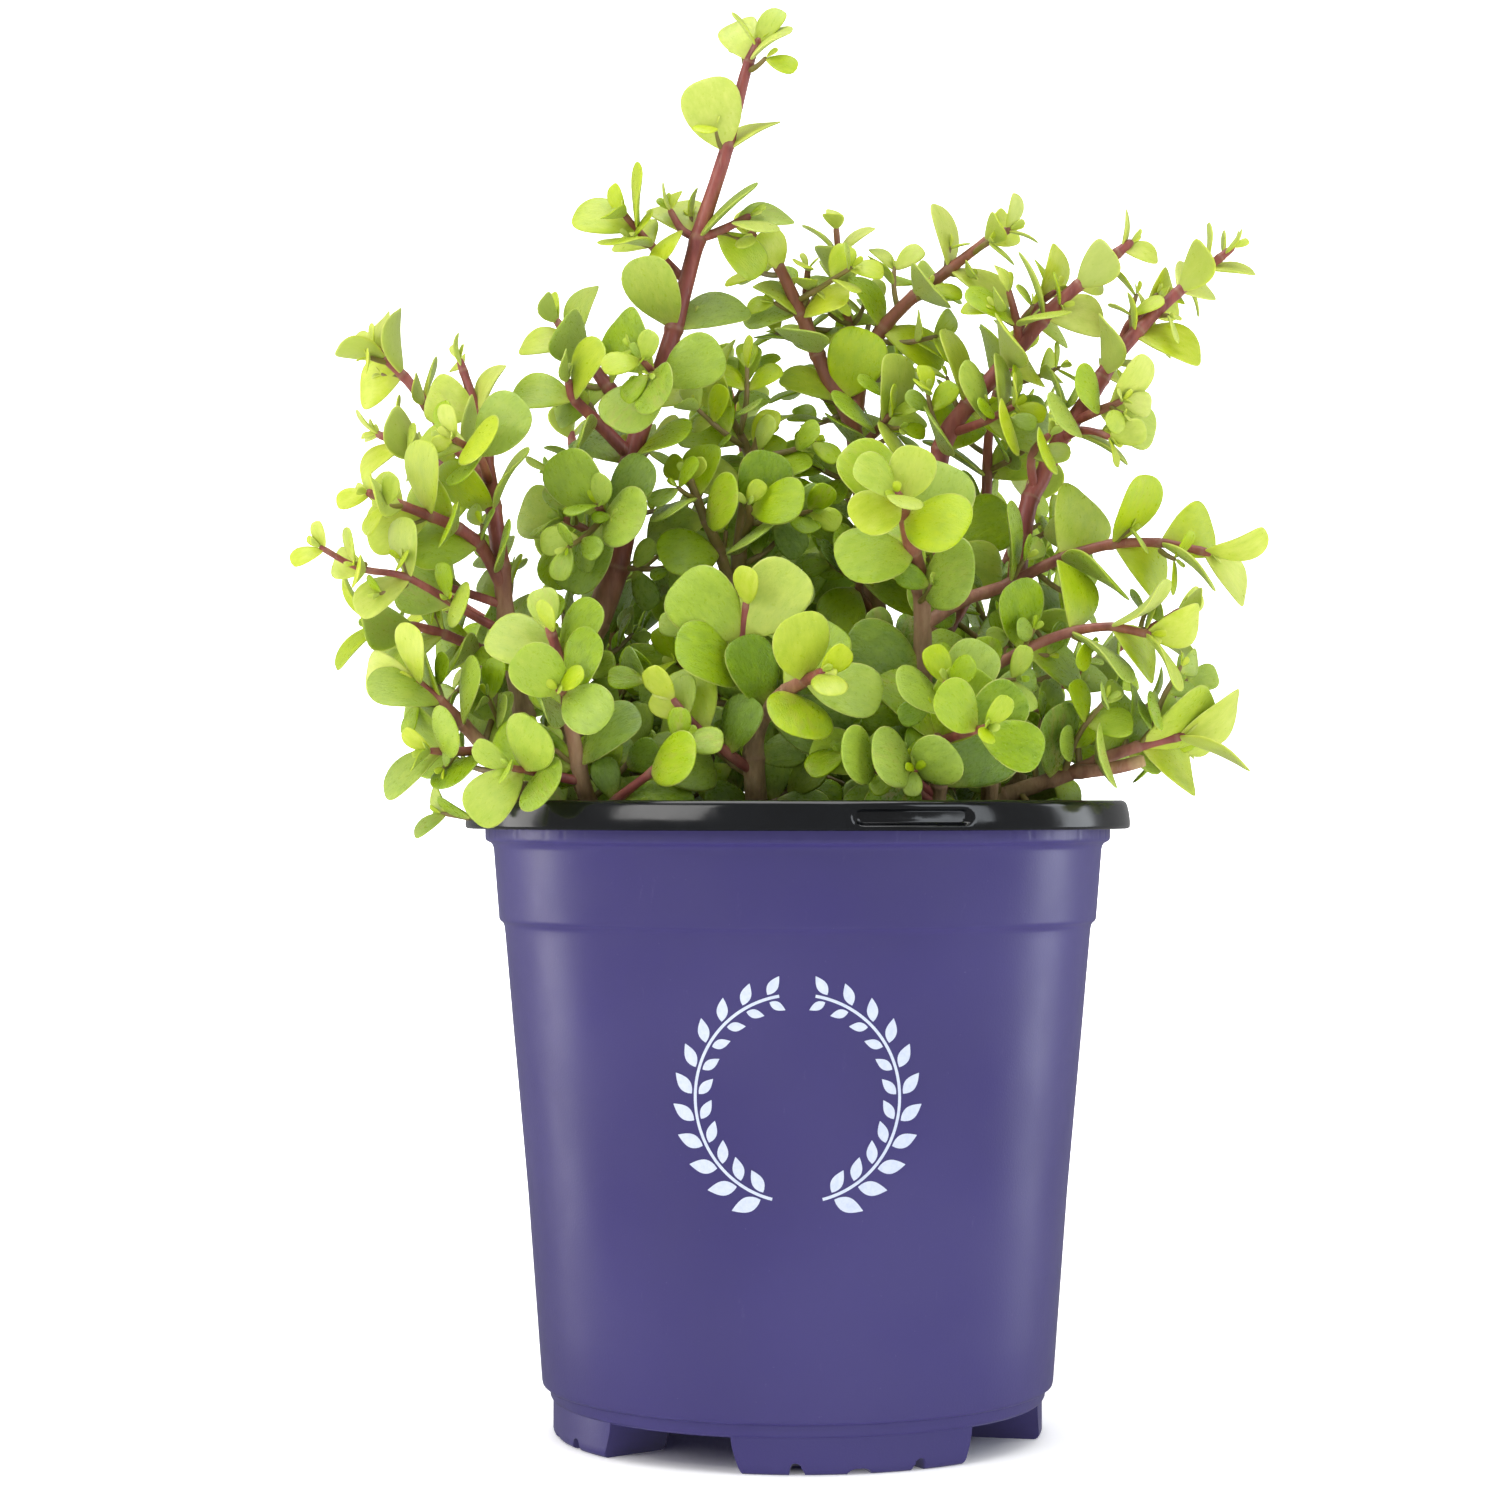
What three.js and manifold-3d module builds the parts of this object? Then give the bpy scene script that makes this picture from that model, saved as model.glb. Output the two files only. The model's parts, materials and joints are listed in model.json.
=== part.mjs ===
// Elephant bush (Portulacaria afra) growing in a round plastic nursery pot.
// Millimetres, +Z up. The origin is on the ground under the middle of the pot; the front faces -Y.
import * as THREE from 'three';
import { mergeVertices } from 'three/addons/utils/BufferGeometryUtils.js';
import Module from 'manifold-3d';

const wasm = await Module();
wasm.setup();

const degree = Math.PI / 180;
const up = new THREE.Vector3(0, 0, 1);
const back = new THREE.Vector3(0, 1, 0);

// ---------------------------------------------------------------- driving dimensions

const pot = {
  height: 156.5,
  rimRadius: 82.5,
  wall: 1.2,
  sides: 32,
  footHeight: 8.5,
  footInner: 42,
  footOuter: 60.6,
  footSpan: 58,
  footTurn: 14,
  drainRadius: 4.5,
  drainRing: 30,
  floorRadius: 60.2,
  neck: 77.6,
  lipHeight: 7,
  lipWall: 1.5,
  lipCorner: 1.4,
  mouth: 77,
};
const footNotch = { aside: 15, width: 3.5, height: 2.7 };
const tagSlot = { azimuth: 19, length: 29, height: 4, down: 3.6, floor: 81.1 };
const soil = { top: 143, crown: 2.5, lump: 1, gap: 0.35 };
const hole = { height: 36, gap: 0.35, sides: 6 };

const leafForm = {
  scale: 1.2,
  widthRatio: 0.84,
  thickness: 2.2,
  sunk: 2.2,
  bend: 42,
  faceLight: 0.78,
  spread: 0.4,
  roll: 24,
  keelAt: 0.5,
  side: [[0.26, 0.3], [0.45, 0.82], [0.7, 1], [0.93, 0.62]],
  smallSide: [[0.3, 0.36], [0.62, 1], [0.93, 0.62]],
  tip: 0.55,
  ageing: 2.2,
  uneven: 0.08,
  open: 36,
  openWithAge: 34,
  stray: 8,
  bendStray: 16,
  lastNode: 0.97,
  nodeEase: 0.9,
  small: 20.5,
  least: 12.5,
};
const bushHeart = { at: new THREE.Vector3(0, 46, 160), flatness: 0.2 };
const wood = { trunkSides: 6, ringsPerPoint: 0.7 };
const room = { leaf: 1.2, own: 1.4, other: 2.8 };
const stationCount = 48;

// ---------------------------------------------------------------- small helpers

let randomState = 20611;

// A seeded draw between -1 and 1.
function draw() {
  randomState = (randomState * 16807) % 2147483647;
  return (randomState / 2147483647) * 2 - 1;
}

function solidFrom(geometry) {
  const bare = geometry.clone();
  bare.deleteAttribute('normal');
  bare.deleteAttribute('uv');
  const merged = mergeVertices(bare, 1e-4);
  return new wasm.Manifold(new wasm.Mesh({
    numProp: 3,
    vertProperties: new Float32Array(merged.attributes.position.array),
    triVerts: new Uint32Array(merged.index.array),
  }));
}

function geometryFrom(solid) {
  const mesh = solid.getMesh();
  const geometry = new THREE.BufferGeometry();
  geometry.setAttribute('position', new THREE.BufferAttribute(mesh.vertProperties, 3));
  geometry.setIndex(new THREE.BufferAttribute(mesh.triVerts, 1));
  geometry.computeVertexNormals();
  return geometry;
}

function namedMesh(name, solid, color, roughness) {
  const mesh = new THREE.Mesh(
    geometryFrom(solid),
    new THREE.MeshStandardMaterial({ color, roughness, metalness: 0 }),
  );
  mesh.name = name;
  return mesh;
}

// Turns a profile of [radius, height] points about the Z axis.
function turned(profile, sides) {
  const points = profile.map(([radius, height]) => new THREE.Vector2(radius, height));
  return new THREE.LatheGeometry(points, sides).rotateX(Math.PI / 2);
}

// ---------------------------------------------------------------- pot

const potWall = [
  [61.4, 10.2],
  [63.3, 12.6],
  [66.9, 60],
  [72.7, 123.5],
  [74.1, 128],
  [75.6, 145],
  [77.6, 147.2],
];

// The corners of the wall that its inside follows, from the floor up.
const insideCorners = [1, 3, 5, 6];

function potInside() {
  return insideCorners.map((corner) => {
    const [radius, height] = potWall[corner];
    return [radius - pot.wall, height + pot.wall / 3];
  });
}

function potProfile() {
  const base = pot.footHeight;
  const lip = pot.rimRadius;
  const top = pot.height;
  const under = top - pot.lipWall;
  const hem = top - pot.lipHeight;
  return [
    [0, base],
    [pot.floorRadius, base],
    ...potWall,
    [pot.neck, under],
    [lip - pot.lipWall, under],
    [lip - pot.lipWall, hem],
    [lip, hem],
    [lip, top - pot.lipCorner],
    [lip - pot.lipCorner, top],
    [pot.mouth, top],
    ...potInside().reverse(),
    [pot.floorRadius - 0.4, base + pot.wall],
    [0, base + pot.wall],
  ];
}

function footSolid(azimuth) {
  const half = (pot.footSpan / 2) * degree;
  const outline = new THREE.Shape();
  outline.absarc(0, 0, pot.footOuter - 1, -half, half, false);
  outline.absarc(0, 0, pot.footInner + 1, half, -half, true);
  outline.closePath();
  const foot = new THREE.ExtrudeGeometry(outline, {
    depth: pot.footHeight - 1.6,
    curveSegments: 3,
    bevelThickness: 1.2,
    bevelSize: 1,
    bevelSegments: 1,
  });
  foot.translate(0, 0, 1.2).rotateZ((azimuth - 90) * degree);
  return solidFrom(foot);
}

// One of the small arched notches in the bottom edge of a foot.
function notchSolid(azimuth) {
  const { width, height } = footNotch;
  const outline = new THREE.Shape();
  outline.moveTo(-width / 2, -1);
  outline.lineTo(width / 2, -1);
  outline.lineTo(width / 2, height * 0.5);
  outline.lineTo(width / 5, height);
  outline.lineTo(-width / 5, height);
  outline.lineTo(-width / 2, height * 0.5);
  outline.closePath();
  const notch = new THREE.ExtrudeGeometry(outline, { depth: 8, bevelEnabled: false });
  notch.rotateX(Math.PI / 2).translate(0, -pot.footOuter + 5, 0).rotateZ(azimuth * degree);
  return solidFrom(notch);
}

function drainSolid(azimuth) {
  const drain = new THREE.CylinderGeometry(pot.drainRadius, pot.drainRadius, 6, 8);
  drain.rotateX(Math.PI / 2).translate(pot.drainRing, 0, pot.footHeight).rotateZ(azimuth * degree);
  return solidFrom(drain);
}

// The flat-bottomed slot for a plant tag, pressed into the front of the lip.
function tagSlotSolid() {
  const radius = tagSlot.height / 2;
  const reach = tagSlot.length / 2 - radius;
  const lozenge = new THREE.Shape();
  lozenge.absarc(reach, 0, radius, -Math.PI / 2, Math.PI / 2, false);
  lozenge.absarc(-reach, 0, radius, Math.PI / 2, Math.PI * 1.5, false);
  const slot = new THREE.ExtrudeGeometry(lozenge, { depth: 6, curveSegments: 4, bevelEnabled: false });
  slot.rotateX(Math.PI / 2).translate(0, -tagSlot.floor, pot.height - tagSlot.down);
  slot.rotateZ(tagSlot.azimuth * degree);
  return solidFrom(slot);
}

function potSolid() {
  let solid = solidFrom(turned(potProfile(), pot.sides));
  for (let quarter = 0; quarter < 4; quarter += 1) {
    const azimuth = pot.footTurn + quarter * 90;
    solid = solid.add(footSolid(azimuth));
    solid = solid.subtract(notchSolid(azimuth - footNotch.aside));
    solid = solid.subtract(notchSolid(azimuth + footNotch.aside));
    solid = solid.subtract(drainSolid(azimuth + 45));
  }
  return solid.subtract(tagSlotSolid());
}

// ---------------------------------------------------------------- table of shoots

// Every shoot is a path of points, from the ground or from inside the stem that carries it.
// thick: its diameters along the path; bare: the share of the path without leaves;
// pairs: its leaf pairs; leaf: its longest leaf; tip: the share of that length its last pair has;
// turn: the side that the first pair faces, 0 to the left of the way it grows as seen from the front,
// 90 to the front;
// twigs: how many short side twigs it carries.
const shoots = [
  // the tall leader on the left, with its branches
  { stem: 'tall_stem', thick: [10.5, 10, 8, 6.4, 5.6, 5, 4.2, 3.4, 2.2], nodes: [0.5, 0.667, 0.75,
    0.84, 0.935, 0.985], leaf: 16.5, turn: 135, twigs: 3,
    path: [[-57, 2, 119], [-57, 2, 148], [-57, 2, 165], [-57, 2, 184], [-48, 3, 207], [-43, 3, 224],
      [-42, 4, 241], [-36, 5, 259], [-31, 6, 275], [-25, 7, 298], [-18, 7, 320], [-13, 7, 340],
      [-9.5, 6, 348]] },
  { stem: 'tall_stem', thick: [4.6, 3.6, 2], bare: 0.35, pairs: 4, leaf: 14.5, turn: 0, twigs: 0,
    path: [[-39, 4, 251], [-45, 6, 257], [-51, 8, 265], [-56, 10, 271], [-61, 12, 278]] },
  { stem: 'tall_stem', thick: [4.2, 3.2, 2], bare: 0.4, pairs: 3, leaf: 15, turn: 60, twigs: 0,
    path: [[-42.5, 4, 243], [-47, 2, 248], [-52, 0, 253], [-56, -2, 257], [-57, -3, 261]] },
  { stem: 'tall_stem', thick: [3, 2.2, 1.6], bare: 0.5, pairs: 2, leaf: 11, turn: 0, twigs: 0,
    path: [[-43, 4, 232], [-50, 8, 235], [-57, 10, 238], [-62, 12, 240]] },
  { stem: 'tall_stem', thick: [4, 3, 2], bare: 0.45, pairs: 3, leaf: 17, turn: 45, twigs: 0,
    path: [[-43, 3, 221], [-45, -3, 223.5], [-47.5, -9, 226], [-49, -15, 229]] },
  { stem: 'tall_stem', thick: [3.6, 3, 2], bare: 0.3, pairs: 5, leaf: 16, tip: 0.9, turn: 0, twigs: 0,
    path: [[-57, 2, 184], [-67, -3, 188], [-79, -6, 194], [-92, -8, 199], [-104, -9, 200]] },
  { stem: 'tall_stem', thick: [3, 2.4, 1.8], bare: 0.4, pairs: 3, leaf: 14, turn: 20, twigs: 0,
    path: [[-25.5, 7, 297], [-21, 6, 299], [-16, 4, 301], [-12, 3, 303]] },
  { stem: 'tall_stem', thick: [2.6, 2.2, 1.6], bare: 0.5, pairs: 2, leaf: 11, turn: 0, twigs: 0,
    path: [[-25.5, 7, 297], [-29, 7, 300], [-32, 6, 305]] },

  // the bushy stem at the far left
  { stem: 'left_stem', thick: [6.5, 6, 5, 4.4, 3.4, 2], bare: 0.5, pairs: 5, leaf: 15, turn: 90,
    twigs: 2,
    path: [[-66, -14, 119], [-66, -14, 148], [-66, -14, 170], [-71, -12, 196], [-73, -12, 214],
      [-75, -10, 228], [-77, -8, 241], [-80, -6, 254], [-84, -4, 266]] },
  { stem: 'left_stem', thick: [2.6, 2, 1.5], bare: 0.3, pairs: 4, leaf: 12.5, turn: 90, twigs: 0,
    path: [[-71, -12, 196], [-80, -19, 202], [-88, -25, 207], [-96, -30, 211], [-105, -34, 212],
      [-114, -38, 217]] },
  { stem: 'left_stem', thick: [3.8, 3.2, 2.1], bare: 0.3, pairs: 5, leaf: 14.5, turn: 0, twigs: 0,
    path: [[-72, -12, 208], [-77, -16, 218], [-83, -20, 223], [-93, -24, 227], [-104, -28, 231]] },
  { stem: 'left_stem', thick: [3.6, 3, 2], bare: 0.35, pairs: 4, leaf: 13, turn: 0, twigs: 0,
    path: [[-75, -10, 228], [-85, -1, 237], [-96, 5, 244], [-106, 9, 249]] },
  { stem: 'left_stem', thick: [3.8, 3, 2], bare: 0.3, pairs: 5, leaf: 13.5, turn: 90, twigs: 0,
    path: [[-76, -9, 234], [-82, 3, 241], [-90, 9, 251], [-98, 13, 262], [-104, 14, 268],
      [-108, 15, 272]] },

  // the short brown stem that leans out over the rim at the left
  { stem: 'low_left_stem', thick: [5, 4.4, 3.6, 2.4], bare: 0.55, pairs: 4, leaf: 15.5, tip: 0.85,
    turn: 45, twigs: 1,
    path: [[-61, -29, 119], [-61, -29, 148], [-67, -28, 158], [-73, -28, 166], [-79, -28, 173],
      [-86, -29, 180], [-92, -30, 185]] },

  // low stems at the front left
  { stem: 'front_left_stem', thick: [5, 4.4, 3.6, 2.4], bare: 0.5, pairs: 4, leaf: 17, turn: 0,
    twigs: 2,
    path: [[-46, -44, 119], [-46, -44, 148], [-50, -46, 158], [-53, -48, 172], [-55, -51, 186],
      [-58, -55, 197]] },
  { stem: 'front_left_stem', thick: [3, 2.4, 1.8], bare: 0.3, pairs: 3, leaf: 16, turn: 0, twigs: 0,
    path: [[-48, -45, 152], [-42, -52, 157], [-34, -58, 163], [-27, -61, 170]] },

  // the tan stem in the middle of the front, with the bright rosette
  { stem: 'front_stem', thick: [6, 5.6, 5, 3.6, 2.4], bare: 0.6, pairs: 4, leaf: 16.5, turn: 0,
    twigs: 0,
    path: [[-9, -42, 119], [-9, -42, 148], [-10, -45, 160], [-10, -47, 172], [-5, -51, 180],
      [1, -57, 184], [6, -65, 186]] },
  { stem: 'front_stem', thick: [3.4, 2.6, 1.8], bare: 0.4, pairs: 3, leaf: 17.5, turn: 90, twigs: 0,
    path: [[-10, -47, 170], [-13, -46, 182], [-13, -47, 193], [-12, -50, 203]] },
  { stem: 'front_stem', thick: [3, 2.4, 1.8], bare: 0.3, pairs: 4, leaf: 15, turn: 0, twigs: 0,
    path: [[-10, -46, 163], [-17, -51, 168], [-24, -55, 174], [-29, -58, 180]] },

  // the stem with the cut top in the middle
  { stem: 'cut_stem', thick: [6.5, 6, 4.6, 4, 3.4, 3.2], nodes: [0.4, 0.5, 0.62, 0.75, 0.87], leaf: 18,
    turn: 90, twigs: 2,
    path: [[-20, 10, 119], [-20, 10, 148], [-18, 8, 175], [-16, 6, 200], [-14, 5, 224], [-11, 5, 241],
      [-8, 4, 251]] },
  { stem: 'cut_stem', thick: [3.6, 3, 2], bare: 0.3, pairs: 4, leaf: 15, turn: 45, twigs: 0,
    path: [[-16, 6, 205], [-20, 1, 220], [-24, -2, 229], [-27, -4, 237]] },
  { stem: 'cut_stem', thick: [3, 2.4, 1.8], bare: 0.3, pairs: 4, leaf: 15, turn: 0, twigs: 0,
    path: [[-11, 5, 240], [-14, 12, 248], [-19, 17, 257], [-24, 20, 266]] },

  // the forked stem behind the middle
  { stem: 'fork_stem', thick: [7, 6.5, 6, 5, 4.3, 3.4, 2.2], bare: 0.4, pairs: 7, leaf: 15, turn: 0,
    twigs: 3,
    path: [[20, 26, 119], [20, 26, 148], [21, 26, 175], [20, 25, 205], [17, 22, 232], [14, 20, 252],
      [7, 20, 266], [2, 19, 278], [-5, 18, 293], [-12, 17, 301]] },
  { stem: 'fork_stem', thick: [4.6, 4.2, 3.2, 2.1], bare: 0.4, pairs: 5, leaf: 14.5, turn: 0, twigs: 0,
    path: [[15, 20, 250], [16, 22, 263], [19, 23, 273], [27, 23, 283], [36, 22, 290], [48, 20, 299],
      [54, 19, 302]] },
  { stem: 'fork_stem', thick: [2.8, 2.2, 1.6], bare: 0.3, pairs: 4, leaf: 12, turn: 0, twigs: 0,
    path: [[17, 22, 267], [13, 26, 280], [11, 27, 293], [10, 27, 304]] },

  // the big stem to the upper right
  { stem: 'right_stem', thick: [7.5, 7, 6, 5.2, 4.6, 3.6, 2.6], bare: 0.36, pairs: 7, leaf: 16, turn: 0,
    twigs: 3,
    path: [[36, 12, 119], [36, 12, 148], [37, 11, 175], [36, 10, 205], [35, 9, 232], [37, 8, 247],
      [44, 8, 257], [53, 8, 267], [63, 8, 279], [73, 8, 288], [84, 8, 297]] },
  { stem: 'right_stem', thick: [3.2, 2.8, 2], bare: 0.5, pairs: 3, leaf: 15, turn: 0, twigs: 0,
    path: [[37, 11, 193], [44, 17, 210], [48, 21, 228], [49, 24, 250], [52, 27, 264], [55, 28, 273]] },
  { stem: 'right_stem', thick: [2.8, 2.2, 1.6], bare: 0.4, pairs: 2, leaf: 13, turn: 0, twigs: 0,
    path: [[57, 8, 271], [55, 5, 277], [53, 3, 284]] },

  // the stem to the far right
  { stem: 'far_right_stem', thick: [6.5, 6, 5, 4.6, 4.4, 3.4, 2], nodes: [0.56, 0.68, 0.78, 0.87, 0.93,
    0.97], leaf: 14.5, turn: 0, twigs: 3,
    path: [[54, -5, 119], [54, -5, 148], [54, -4, 175], [54, -3, 205], [57, -2, 228], [61, 0, 237],
      [66, 1, 247], [73, 3, 257], [80, 5, 268], [90, 8, 279], [100, 10, 288], [110, 11, 296]] },
  { stem: 'far_right_stem', thick: [2.6, 2.2, 1.6], bare: 0.4, pairs: 2, leaf: 14, turn: 0, twigs: 0,
    path: [[65, 0, 246], [69, -4, 248], [73, -7, 248], [77, -9, 246]] },

  // the stem with the second bright rosette, and the branches that arch to the right
  { stem: 'rosette_stem', thick: [5.6, 5.2, 4.6, 3.6, 2.6], nodes: [0.4, 0.52, 0.63, 0.8, 0.89, 0.97],
    leaf: 18, turn: 38, twigs: 0,
    path: [[29, -24, 119], [29, -24, 148], [30, -27, 175], [30, -30, 205], [27, -38, 218],
      [25, -47, 225], [23, -57, 228]] },
  { stem: 'rosette_stem', thick: [3.8, 3.4, 2.8, 2.2], bare: 0.35, pairs: 5, leaf: 17.5, tip: 0.8,
    turn: 45, twigs: 0,
    path: [[30, -29, 197], [40, -21, 205], [51, -16, 209], [63, -15, 215], [76, -15, 219],
      [89, -15, 219.5], [101, -15, 217]] },
  { stem: 'rosette_stem', thick: [3.2, 2.8, 2], bare: 0.4, pairs: 4, leaf: 16.5, tip: 0.85, turn: 45,
    twigs: 0,
    path: [[30, -27, 178], [46, -31, 188], [60, -34, 195], [73, -36, 198], [84, -38, 196]] },

  // the low stem that leans out over the rim at the right, with its two cut stubs
  { stem: 'low_right_stem', thick: [5, 4.8, 4, 3.2, 2.2], bare: 0.5, pairs: 4, leaf: 18, tip: 0.85,
    turn: 45, twigs: 0,
    path: [[44, -30, 119], [44, -30, 148], [48, -29, 156], [57, -29, 160], [66, -29, 163],
      [75, -29, 167], [84, -29, 170], [93, -29, 172]] },
  { stem: 'low_right_stem', thick: [3.6, 3.4], bare: 1, pairs: 0, leaf: 0, turn: 0, twigs: 0,
    path: [[66, -30, 162], [75, -33, 164], [83, -34, 166]] },
  { stem: 'low_right_stem', thick: [4.6, 4.4], bare: 1, pairs: 0, leaf: 0, turn: 0, twigs: 0,
    path: [[45, -30, 150], [46, -34, 156], [46, -37, 162]] },

  // low leaves at the front right
  { stem: 'front_right_stem', thick: [6, 5.4, 4, 2.6], bare: 0.5, pairs: 4, leaf: 17.5, turn: 45,
    twigs: 2,
    path: [[32, -46, 119], [32, -46, 148], [33, -49, 160], [34, -53, 174], [35, -61, 184]] },
  { stem: 'front_right_stem', thick: [3, 2.4, 1.8], bare: 0.3, pairs: 3, leaf: 16, turn: 0, twigs: 0,
    path: [[33, -48, 155], [26, -54, 160], [18, -59, 164], [11, -62, 168]] },

  // the stems at the back
  { stem: 'back_left_stem', thick: [6.5, 6, 4.6, 3.6, 2.2], bare: 0.4, pairs: 5, leaf: 16, turn: 45,
    twigs: 2,
    path: [[-38, 38, 119], [-38, 38, 148], [-43, 44, 175], [-50, 53, 205], [-57, 61, 232],
      [-61, 67, 256]] },
  { stem: 'back_left_stem', thick: [3.6, 3, 2], bare: 0.3, pairs: 4, leaf: 16, turn: 0, twigs: 0,
    path: [[-42, 43, 170], [-57, 44, 183], [-72, 43, 197], [-87, 42, 207], [-99, 43, 214]] },
  { stem: 'back_left_stem', thick: [3.4, 2.8, 2], bare: 0.3, pairs: 4, leaf: 16, turn: 0, twigs: 0,
    path: [[-40, 41, 162], [-42, 54, 172], [-43, 64, 184], [-41, 74, 194]] },

  { stem: 'back_stem', thick: [6.5, 6, 4.6, 3.6, 2.2], bare: 0.4, pairs: 6, leaf: 16, turn: 0, twigs: 2,
    path: [[-5, 46, 119], [-5, 46, 148], [-5, 51, 180], [-8, 56, 215], [-13, 60, 245],
      [-20, 61, 272]] },
  { stem: 'back_stem', thick: [3.4, 2.8, 2], bare: 0.3, pairs: 4, leaf: 16, turn: 45, twigs: 1,
    path: [[-5, 50, 172], [1, 60, 184], [7, 64, 197], [10, 70, 212]] },

  { stem: 'back_right_stem', thick: [6.5, 6, 4.6, 3.6, 2.2], bare: 0.4, pairs: 5, leaf: 16, turn: 45,
    twigs: 2,
    path: [[38, 40, 119], [38, 40, 148], [44, 46, 175], [52, 54, 205], [60, 60, 232], [66, 63, 254]] },
  { stem: 'back_right_stem', thick: [3.6, 3, 2], bare: 0.3, pairs: 4, leaf: 16, turn: 0, twigs: 0,
    path: [[42, 44, 168], [58, 46, 178], [74, 46, 190], [90, 44, 200], [100, 42, 206]] },
  { stem: 'back_right_stem', thick: [3.4, 2.8, 2], bare: 0.3, pairs: 4, leaf: 16, turn: 0, twigs: 0,
    path: [[40, 42, 160], [46, 54, 168], [50, 63, 178], [52, 72, 190]] },
];

// ---------------------------------------------------------------- growth rule

// A point at share u of a smooth curve through the path.
function pathPoint(path, u) {
  const curve = new THREE.CatmullRomCurve3(path, false, 'catmullrom', 0.5);
  return curve.getPoint(THREE.MathUtils.clamp(u, 0, 1));
}

function thickAt(thick, u) {
  const place = u * (thick.length - 1);
  const index = Math.min(Math.floor(place), thick.length - 2);
  return THREE.MathUtils.lerp(thick[index], thick[index + 1], place - index);
}

function isFromGround({ path }) {
  return path[0][2] < soil.top;
}

function evenShares(from, steps) {
  return Array.from({ length: steps + 1 }, (_, step) => from + ((1 - from) * step) / steps);
}

// The shares of a shoot's path at which its wood has a ring of corners. The foot in the soil is straight.
function ringShares(shoot) {
  const points = shoot.path.length;
  if (!isFromGround(shoot)) return evenShares(0, points > 4 ? 3 : 2);
  return [0, ...evenShares(1 / (points - 1), Math.ceil((points - 2) * wood.ringsPerPoint))];
}

function alongRings(rings, u) {
  const index = Math.max(rings.findIndex((ring) => ring.share >= u - 1e-9), 1);
  const [from, to] = [rings[index - 1], rings[index]];
  return from.at.clone().lerp(to.at, (u - from.share) / (to.share - from.share));
}

// Even stations along a shoot, each with its direction, its side vector and its radius.
// The side vector starts to the left as seen from the front and is carried along without twisting.
function shootStations(shoot) {
  const path = shoot.path.map((point) => new THREE.Vector3(...point));
  const rings = ringShares(shoot).map((share) => ({ share, at: pathPoint(path, share) }));
  const stations = [];
  let side = null;
  for (let i = 0; i <= stationCount; i += 1) {
    const u = i / stationCount;
    const direction = pathPoint(path, u + 0.01).sub(pathPoint(path, u - 0.01)).normalize();
    const hint = side ?? new THREE.Vector3().crossVectors(direction, Math.abs(direction.y) > 0.8 ? up : back);
    side = hint.clone().addScaledVector(direction, -hint.dot(direction)).normalize();
    stations.push({ at: alongRings(rings, u), direction, side, radius: thickAt(shoot.thick, u) / 2 });
  }
  return { rings, stations };
}

function stationAt(shoot, u) {
  return shoot.stations[Math.round(u * stationCount)];
}

// The way from the heart of the bush to the open air.
function lightAt(point) {
  const way = point.clone().sub(bushHeart.at);
  way.z *= bushHeart.flatness;
  return way.normalize();
}

// A leaf that grows from a station: its root, its three axes, its length, width and bend.
function leafAt(station, turn, open, { length, width, bend, roll }) {
  const outward = station.side.clone().applyAxisAngle(station.direction, turn * degree);
  const light = lightAt(station.at);
  const along = station.direction.clone().multiplyScalar(Math.cos(open * degree));
  along.addScaledVector(outward, Math.sin(open * degree));
  along.addScaledVector(light, -leafForm.spread * along.dot(light)).normalize();
  const face = station.direction.clone().multiplyScalar(Math.sin(open * degree));
  face.addScaledVector(outward, -Math.cos(open * degree)).lerp(light, leafForm.faceLight);
  face.addScaledVector(along, -face.dot(along)).normalize().applyAxisAngle(along, roll * degree);
  const root = station.at.clone().addScaledVector(outward, Math.max(station.radius - leafForm.sunk, 0));
  return { root, along, face, across: new THREE.Vector3().crossVectors(face, along), length, width, bend };
}

// The middle of a leaf at share t: an arc that bends back away from its face.
function leafPoint(leaf, t) {
  const turn = leaf.bend * degree;
  const start = -turn / 2;
  const angle = start + turn * t;
  const forward = (leaf.length / turn) * (Math.sin(angle) - Math.sin(start));
  const rise = (leaf.length / turn) * (Math.cos(angle) - Math.cos(start));
  return leaf.root.clone().addScaledVector(leaf.along, forward).addScaledVector(leaf.face, rise);
}

// A point on a leaf at share t of its length, to one side by a share of half its width.
function bladePoint(leaf, t, side) {
  return leafPoint(leaf, t).addScaledVector(leaf.across, (side * leaf.width) / 2);
}

function leafSamples(leaf) {
  const middle = [0.4, 0.6, 0.8, 0.97].map((t) => bladePoint(leaf, t, 0));
  const sides = leafForm.side.slice(1).flatMap(([t, half]) => [
    bladePoint(leaf, t, half * 0.85),
    bladePoint(leaf, t, half * -0.85),
  ]);
  return [...middle, ...sides];
}

const taken = [];

function isCrowded(samples, stem, shoot) {
  return taken.some((other) => {
    if (other.shoot === shoot && other.isWood) return false;
    const extra = other.shoot === shoot ? 0 : other.stem === stem ? room.own : room.other;
    const gap = other.radius + room.leaf + extra;
    return samples.some((sample) => sample.distanceToSquared(other.at) < gap * gap);
  });
}

function meetsPotOrSoil({ x, y, z }) {
  const radius = Math.hypot(x, y);
  const edge = potWall[5][0] - 3.5;
  if (radius <= edge) return z < soil.top + soil.crown + 3;
  return radius < pot.rimRadius + 2.5 && z < pot.height + 2.5;
}

const tries = [[0, 0], [14, 0], [-14, 0], [0, 18], [0, -18], [14, 18], [14, -18], [-14, 18], [-14, -18],
  [28, 0], [-28, 0], [0, 36], [0, -36], [28, 18], [28, -18], [-28, 18], [-28, -18], [28, 36], [28, -36]];

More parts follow.
